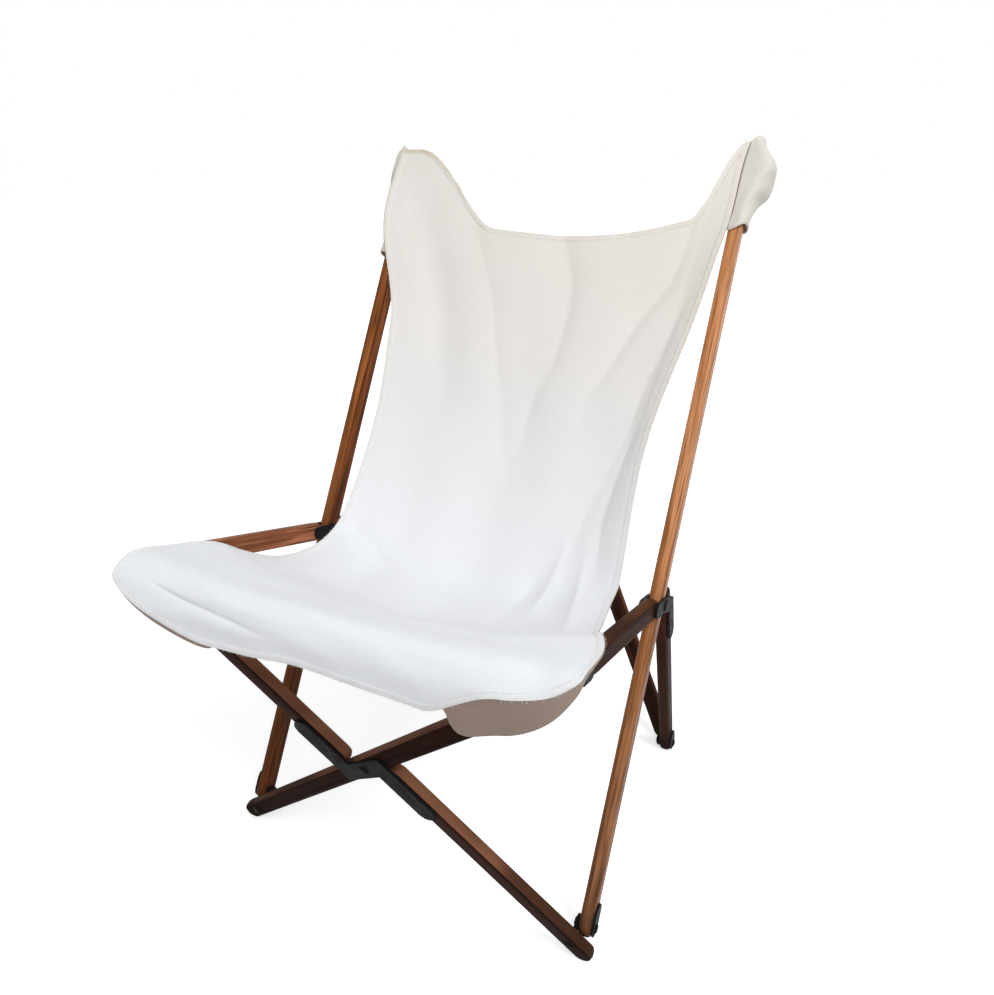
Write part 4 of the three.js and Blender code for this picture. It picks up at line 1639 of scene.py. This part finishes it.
@dataclass
class SlingCover:
    """The dressed sling: its panels, lap, pockets, stitching and frayed edge."""

    TOP_POCKETS = {
        Side.LEFT: TopPocket(0.165, 0.009, 1.0, 0.3),
        Side.RIGHT: TopPocket(0.112, 0.004, 1.8, 0.9, rise=0.013, shoulder=-0.333),
    }
    FRONT_POCKETS = {Side.LEFT: FrontPocket(0.012), Side.RIGHT: FrontPocket(0.050)}
    STITCHES = {"Spacing": 0.0044, "Length": 0.0032, "Radius": 0.00042, "Seed": 7}
    FRAY = {"Spacing": 0.0016, "Length": 0.0036, "Radius": 0.00017, "Seed": 11}

    sling: Sling
    repeats: Repeats
    canvas: Material
    pocket: Material
    # The front pockets' canvas, darkened with painted shade
    skirt: Material
    thread: Material
    fray: Material
    stitch_inset: float = 0.0072
    stitch_lift: float = 0.0006
    pocket_hem: float = 0.0024
    pocket_warm_shade: float = 0.7

    def follow(self, piece: Object, body: str) -> None:
        """Rides a piece on a body, with a mesh of its own.

        Args:
            piece: The piece.
            body: The body.
        """
        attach(piece, body)
        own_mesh(piece)

    @staticmethod
    def outer_line(cloth: Cloth, far_row: int, inward: float, lift: float) -> tuple[Array, Array]:
        """Finds a line beside a panel's outer edge and the directions out of the edge.

        Args:
            cloth: The panel.
            far_row: The row on the outer edge, first or last.
            inward: The distance from the edge.
            lift: The distance above the middle of the sheet.

        Returns:
            The line's points and the outward directions.
        """
        order = slice(None, None, -1) if far_row == 0 else slice(None)
        edge, normal = (
            np.concatenate([a[order, 0][:-1], a[far_row], a[order, -1][::-1][1:]])
            for a in (cloth.points, cloth.normals())
        )
        keep = np.concatenate([[True], np.linalg.norm(np.diff(edge, axis=0), axis=1) > 1e-5])
        edge, normal = edge[keep], normal[keep]
        out = unit(np.cross(unit(np.gradient(edge, axis=0)), normal))
        middle = cloth.points.reshape(-1, 3).mean(0)
        if np.sum((edge - middle) * out) < 0:
            out = -out
        line = edge - out * inward - normal * lift
        if inward > 0:
            # Leaves out what comes nearer to another part of the edge, as in a corner
            clear = np.linalg.norm(line[:, None] - edge[None], axis=2).min(1) > inward * 0.93
            line, out = line[clear], out[clear]
        return line, out

    def panel(self, name: str, cloth: Cloth, far_row: int, body: str, node: str) -> None:
        """Makes one panel with its stitching and frayed edge; the back panel also has its lap.

        Args:
            name: The panel's name.
            cloth: Its cloth.
            far_row: The row on its outer edge.
            body: The body that it rides on.
            node: The CAD solid that it stands for.
        """
        sheet = cloth.build(name, self.canvas)
        trees = self.repeats
        line, _ = self.outer_line(cloth, far_row, self.stitch_inset, self.sling.thick / 2 + self.stitch_lift)
        edge, out = self.outer_line(cloth, far_row, 0.0, 0.2 * self.sling.hem_thick)
        sewn, loose = {**self.STITCHES, "Material": self.thread}, {**self.FRAY, "Material": self.fray}
        pieces = [
            trees.run(f"{name}_stitches", trees.stitches, line, sewn),
            trees.run(f"{name}_fray", trees.fray, edge, loose, out),
        ]
        if far_row == 0:
            pieces.append(self.sling.lap_cloth().build(f"{name}_lap", self.canvas))
        for piece in (sheet, *pieces):
            self.follow(piece, body)
        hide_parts(node)
        width, length, area = cloth.flat_size()
        log.info("%s: %.0f by %.0f mm, %.3f square metres", name, 1000 * width, 1000 * length, area)

    def sleeve_section(self, side: Side, level: float) -> tuple[Array, float]:
        """Finds a top pocket's section at a level, from the sling's hem there.

        Args:
            side: The pocket's side.
            level: The section's level, in bar widths from the tip.

        Returns:
            Points as (across, back) and the seam's height from the tip, in metres.
        """
        b = SIZES.bar_width
        share = 1 + level * b / float(np.linalg.norm(SIZES.top_tip - SIZES.crossing))
        first, second = Hem.BAR[0][0], Hem.BAR[1][0]
        station = max(0.0, (first - share) / (first - second))
        seam = self.sling.surface(station / Hem.LAST, float(side.value))
        from_tip = seam[1:] - SIZES.top_tip - np.array([SIZES.shift, 0.0])
        front = float(from_tip @ quarter(SIZES.bar_up)) / b
        section = self.TOP_POCKETS[side].section(level, abs(float(seam[0])) / b, front)
        return section, float(from_tip @ SIZES.bar_up)

    def sleeve_cloth(self, side: Side) -> Cloth:
        """Makes a top pocket, a sleeve round the outer side and back of the tip.

        Args:
            side: The pocket's side.

        Returns:
            The cloth.
        """
        pocket, b = self.TOP_POCKETS[side], SIZES.bar_width
        front_dir = quarter(SIZES.bar_up)
        shares = np.linspace(0, 1, pocket.steps + 1)
        points = np.zeros((pocket.levels + 1, pocket.steps + 1, 3))
        for i, v in enumerate(np.linspace(0, 1, pocket.levels + 1)):
            for j, u in enumerate(shares):
                low = pocket.rise * smoothstep(u, 0, 0.4) - pocket.depth
                level = float(lerp(low, pocket.top, v)) / b
                section, seam = self.sleeve_section(side, level)
                height = lerp(level * b, seam, (1 - u) ** 6)
                p = SIZES.top_tip + SIZES.bar_up * height - front_dir * section[j, 1]
                points[i, j] = side.value * section[j, 0], p[0] + SIZES.shift, p[1]
        # Its top folds over the tip, to the line from the seam to the inner edge
        along = np.linspace(0.05, 0.95, pocket.steps + 1)[None, :, None]
        chord = lerp(points[-1:, :1], points[-1:, -1:], along)
        over = np.linspace(0, 1, pocket.lid_rows + 1)[1:, None, None]
        points = np.concatenate([points, lerp(points[-1:], chord, over)])
        if side is Side.LEFT:
            points = points[:, ::-1]
        # Soft dents, least at the seam and the edges
        k = shares[None, :]
        v = np.minimum(1, np.arange(len(points)) / pocket.levels)[:, None]
        wave = 0.0016 * np.sin(9 * v + 4 * k) + 0.0011 * np.sin(23 * v - 7 * k + 1.3)
        dents = wave * np.sin(np.pi * k) * np.sin(np.pi * v) ** 0.7
        points = points + Cloth(points, k, k).normals() * dents[..., None]
        down = run_length(points, 0)
        inset = np.minimum(down, down[-1] - down)
        thick = np.where(inset < self.sling.hem_width, self.pocket_hem, self.sling.thick)
        # The pockets share the painted warm shade of the back's top
        age = np.full(inset.shape, self.pocket_warm_shade)
        return Cloth(points, inset, thick, age=age, sharp_rows=(pocket.levels,))

    def skirt_cloth(self, side: Side) -> Cloth:
        """Makes a front pocket, a skirt from the front edge round the corner to the side hem.

        Args:
            side: The pocket's side.

        Returns:
            The cloth.
        """
        skirt, sling = self.FRONT_POCKETS[side], self.sling
        u = np.linspace(0, 1, skirt.columns + 1)[None, :]
        v = np.linspace(0, 1, skirt.rows + 1)[:, None]
        front = u < skirt.corner
        sweep = np.sin(np.minimum(u / skirt.corner, 1) * np.pi / 2)
        share = np.where(front, lerp(skirt.start, 1.0, sweep), 1.0) * side.value
        corner = sling.corners[0 if side is Side.LEFT else 1]
        beside = (corner - skirt.side_run * (u - skirt.corner) / (1 - skirt.corner)) / Hem.LAST
        s = np.where(front, sling.front_edge(share), beside)
        edge = sling.surface(s, share)
        fall = skirt.top_drop + skirt.length * v * np.maximum(0, np.sin(np.pi * u**0.36)) ** 1.5
        # Its top runs a little under the hem
        under = unit(sling.surface(s - 0.05 / Hem.LAST, share * 0.99) - edge)
        tucked = under * (skirt.tuck * (1 - v) ** 2)[..., None]
        back = skirt.lean * v * v * (1 - u)
        points = np.stack([edge[..., 0] + 0 * v, edge[..., 1] + back, edge[..., 2] - fall], -1) + tucked
        points[..., 2] += skirt.ripple * np.sin(11 * u) * v
        inset = np.broadcast_to(fall.max(0) - fall, points.shape[:2])
        if side is Side.LEFT:
            points, inset = points[:, ::-1], inset[:, ::-1]
        return Cloth(points, inset, np.full(inset.shape, sling.thick))

    def corner_pocket(self, name: str, cloth: Cloth, node: str) -> None:
        """Hides the CAD solid that a pocket stands for and logs its size.

        Args:
            name: The pocket's name in the log.
            cloth: Its cloth.
            node: The CAD solid that it stands for.
        """
        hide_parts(node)
        width, tall, area = cloth.flat_size()
        log.info("%s: %.0f by %.0f mm", name, 1000 * width, 1000 * tall)

    def build(self) -> None:
        """Makes the whole cover."""
        bars, rails = ([f"{side.label}_{part}" for side in Side] for part in ("side_bar", "seat_rail"))
        self.panel("canvas_back", self.sling.back_cloth(), 0, "right_side", "sling_back")
        self.panel("canvas_seat", self.sling.seat_cloth(), -1, "right_seat", "sling_seat")
        for side, bar, rail in zip(Side, bars, rails):
            node = f"{side.label}_top_pocket"
            cloth = self.sleeve_cloth(side)
            piece = cloth.build(f"canvas_{node}", self.pocket)
            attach(piece, f"{side.label}_side")
            self.corner_pocket(f"{side.label} top pocket", cloth, node)
            node = f"{side.label}_front_pocket"
            cloth = self.skirt_cloth(side)
            piece = cloth.build(f"canvas_{node}", self.skirt)
            self.follow(piece, f"{side.label}_seat")
            self.corner_pocket(f"{side.label} front pocket", cloth, node)


@dataclass(frozen=True)
class Lamp:
    """A square lamp that points at the chair."""

    name: str
    at: Point
    size: float
    power: float
    colour: Colour = (1, 1, 1)
    aim: Point = (0, 0, 0.45)

    def light(self) -> None:
        """Adds the lamp to the scene."""
        data = bpy.data.lights.new(self.name, "AREA")
        data.size, data.energy, data.color = self.size, self.power, self.colour
        made = linked(self.name, data)
        made.location = self.at
        made.rotation_euler = (Vector(self.aim) - Vector(self.at)).to_track_quat("-Z", "Y").to_euler()


@dataclass
class Studio:
    """Camera, soft lamps, a pale floor and a soft white surround."""

    LAMPS = (
        Lamp("key_lamp", (1.9, -1.0, 2.9), 1.3, 69.0, (0.94, 0.97, 1.0)),
        Lamp("fill_lamp", (-1.6, -2.6, 1.7), 2.0, 15.0, (0.98, 0.98, 1.0)),
        Lamp("rear_lamp", (0.6, 2.4, 2.6), 1.8, 8.0),
    )

    eye: Point = (0.4912, -0.91348, 0.9875)
    azimuth: float = 26.704
    elevation: float = 25.724
    roll: float = -0.844
    focal_px: float = 749.5
    frame_px: float = 995.0
    sensor: float = 36.0
    shift: Span = (0.0043, 0.0286)
    floor_half: float = 30.0
    surround: Colour = (0.95, 0.975, 1.0)
    surround_strength: float = 0.42

    def camera(self) -> None:
        """Sets the camera at the photograph's viewpoint."""
        data = bpy.data.cameras.new("viewpoint")
        data.sensor_width = self.sensor
        data.lens = self.sensor * self.focal_px / self.frame_px
        data.shift_x, data.shift_y = self.shift
        data.clip_start, data.clip_end = 0.02, 200.0
        a, e, r = (math.radians(x) for x in (self.azimuth, self.elevation, self.roll))
        back = Vector((math.sin(a) * math.cos(e), -math.cos(a) * math.cos(e), math.sin(e)))
        right = (-back).cross(Vector((0, 0, 1))).normalized()
        up = right.cross(-back)
        right, up = right * math.cos(r) + up * math.sin(r), up * math.cos(r) - right * math.sin(r)
        made = linked("viewpoint", data)
        made.matrix_world = Matrix.Translation(self.eye) @ Matrix((right, up, back)).transposed().to_4x4()
        bpy.context.scene.camera = made

    def floor(self, effects: Effects) -> None:
        """Adds the floor.

        Args:
            effects: The shared node groups.
        """
        h = self.floor_half
        corners = [(-h, -h, 0), (h, -h, 0), (h, h, 0), (-h, h, 0)]
        pale = PaleFloor().material(effects)
        floor = new_object("studio_floor", corners, [(0, 1, 2, 3)], pale, smooth=False)

    def world(self) -> None:
        """Sets the surround."""
        world = bpy.data.worlds.new("studio_world")
        world.use_nodes = True
        tree = Tree(world.node_tree)
        soft = {"Color": opaque(self.surround), "Strength": self.surround_strength}
        white = {"Color": opaque((1, 1, 1)), "Strength": 1.0}
        shown = [tree.add("ShaderNodeBackground", values).outputs[0] for values in (soft, white)]
        both = tree.add("ShaderNodeMixShader", {0: tree.seen(), 1: shown[0], 2: shown[1]})
        tree.add("ShaderNodeOutputWorld", {"Surface": both.outputs[0]})
        bpy.context.scene.world = world

    def build(self, effects: Effects) -> None:
        """Sets up the whole studio.

        Args:
            effects: The shared node groups.
        """
        self.camera()
        self.floor(effects)
        self.world()
        for lamp in self.LAMPS:
            lamp.light()
        bpy.context.scene.view_settings.view_transform = "Standard"


def main() -> None:
    """Dresses the frame, makes the sling and sets up the studio."""
    logging.basicConfig(level=logging.INFO, format="%(name)s: %(message)s")
    effects = Effects()
    repeats = Repeats()
    Studio().build(effects)
    iron = Iron().material(effects)
    TimberFrame(effects, iron).dress()
    Rivets().build(repeats, iron)
    SlingCover(
        Sling(),
        repeats,
        Canvas("sling_canvas").material(effects),
        Canvas("pocket_canvas", cloth=(0.72, 0.71, 0.685)).material(effects),
        # The front pockets' canvas is the sling's canvas painted dark brown with the shade under the seat's
        # edge
        Canvas("skirt_canvas_painted_shade", cloth=(0.32, 0.235, 0.19), tan=(0.38, 0.30, 0.23)).material(effects),
        Thread("hem_thread", (0.80, 0.77, 0.70), (0.66, 0.60, 0.47)).material(effects),
        Thread("frayed_warp", (0.78, 0.73, 0.62), (0.58, 0.50, 0.35)).material(effects),
    ).build()


if __name__ == "__main__":
    main()
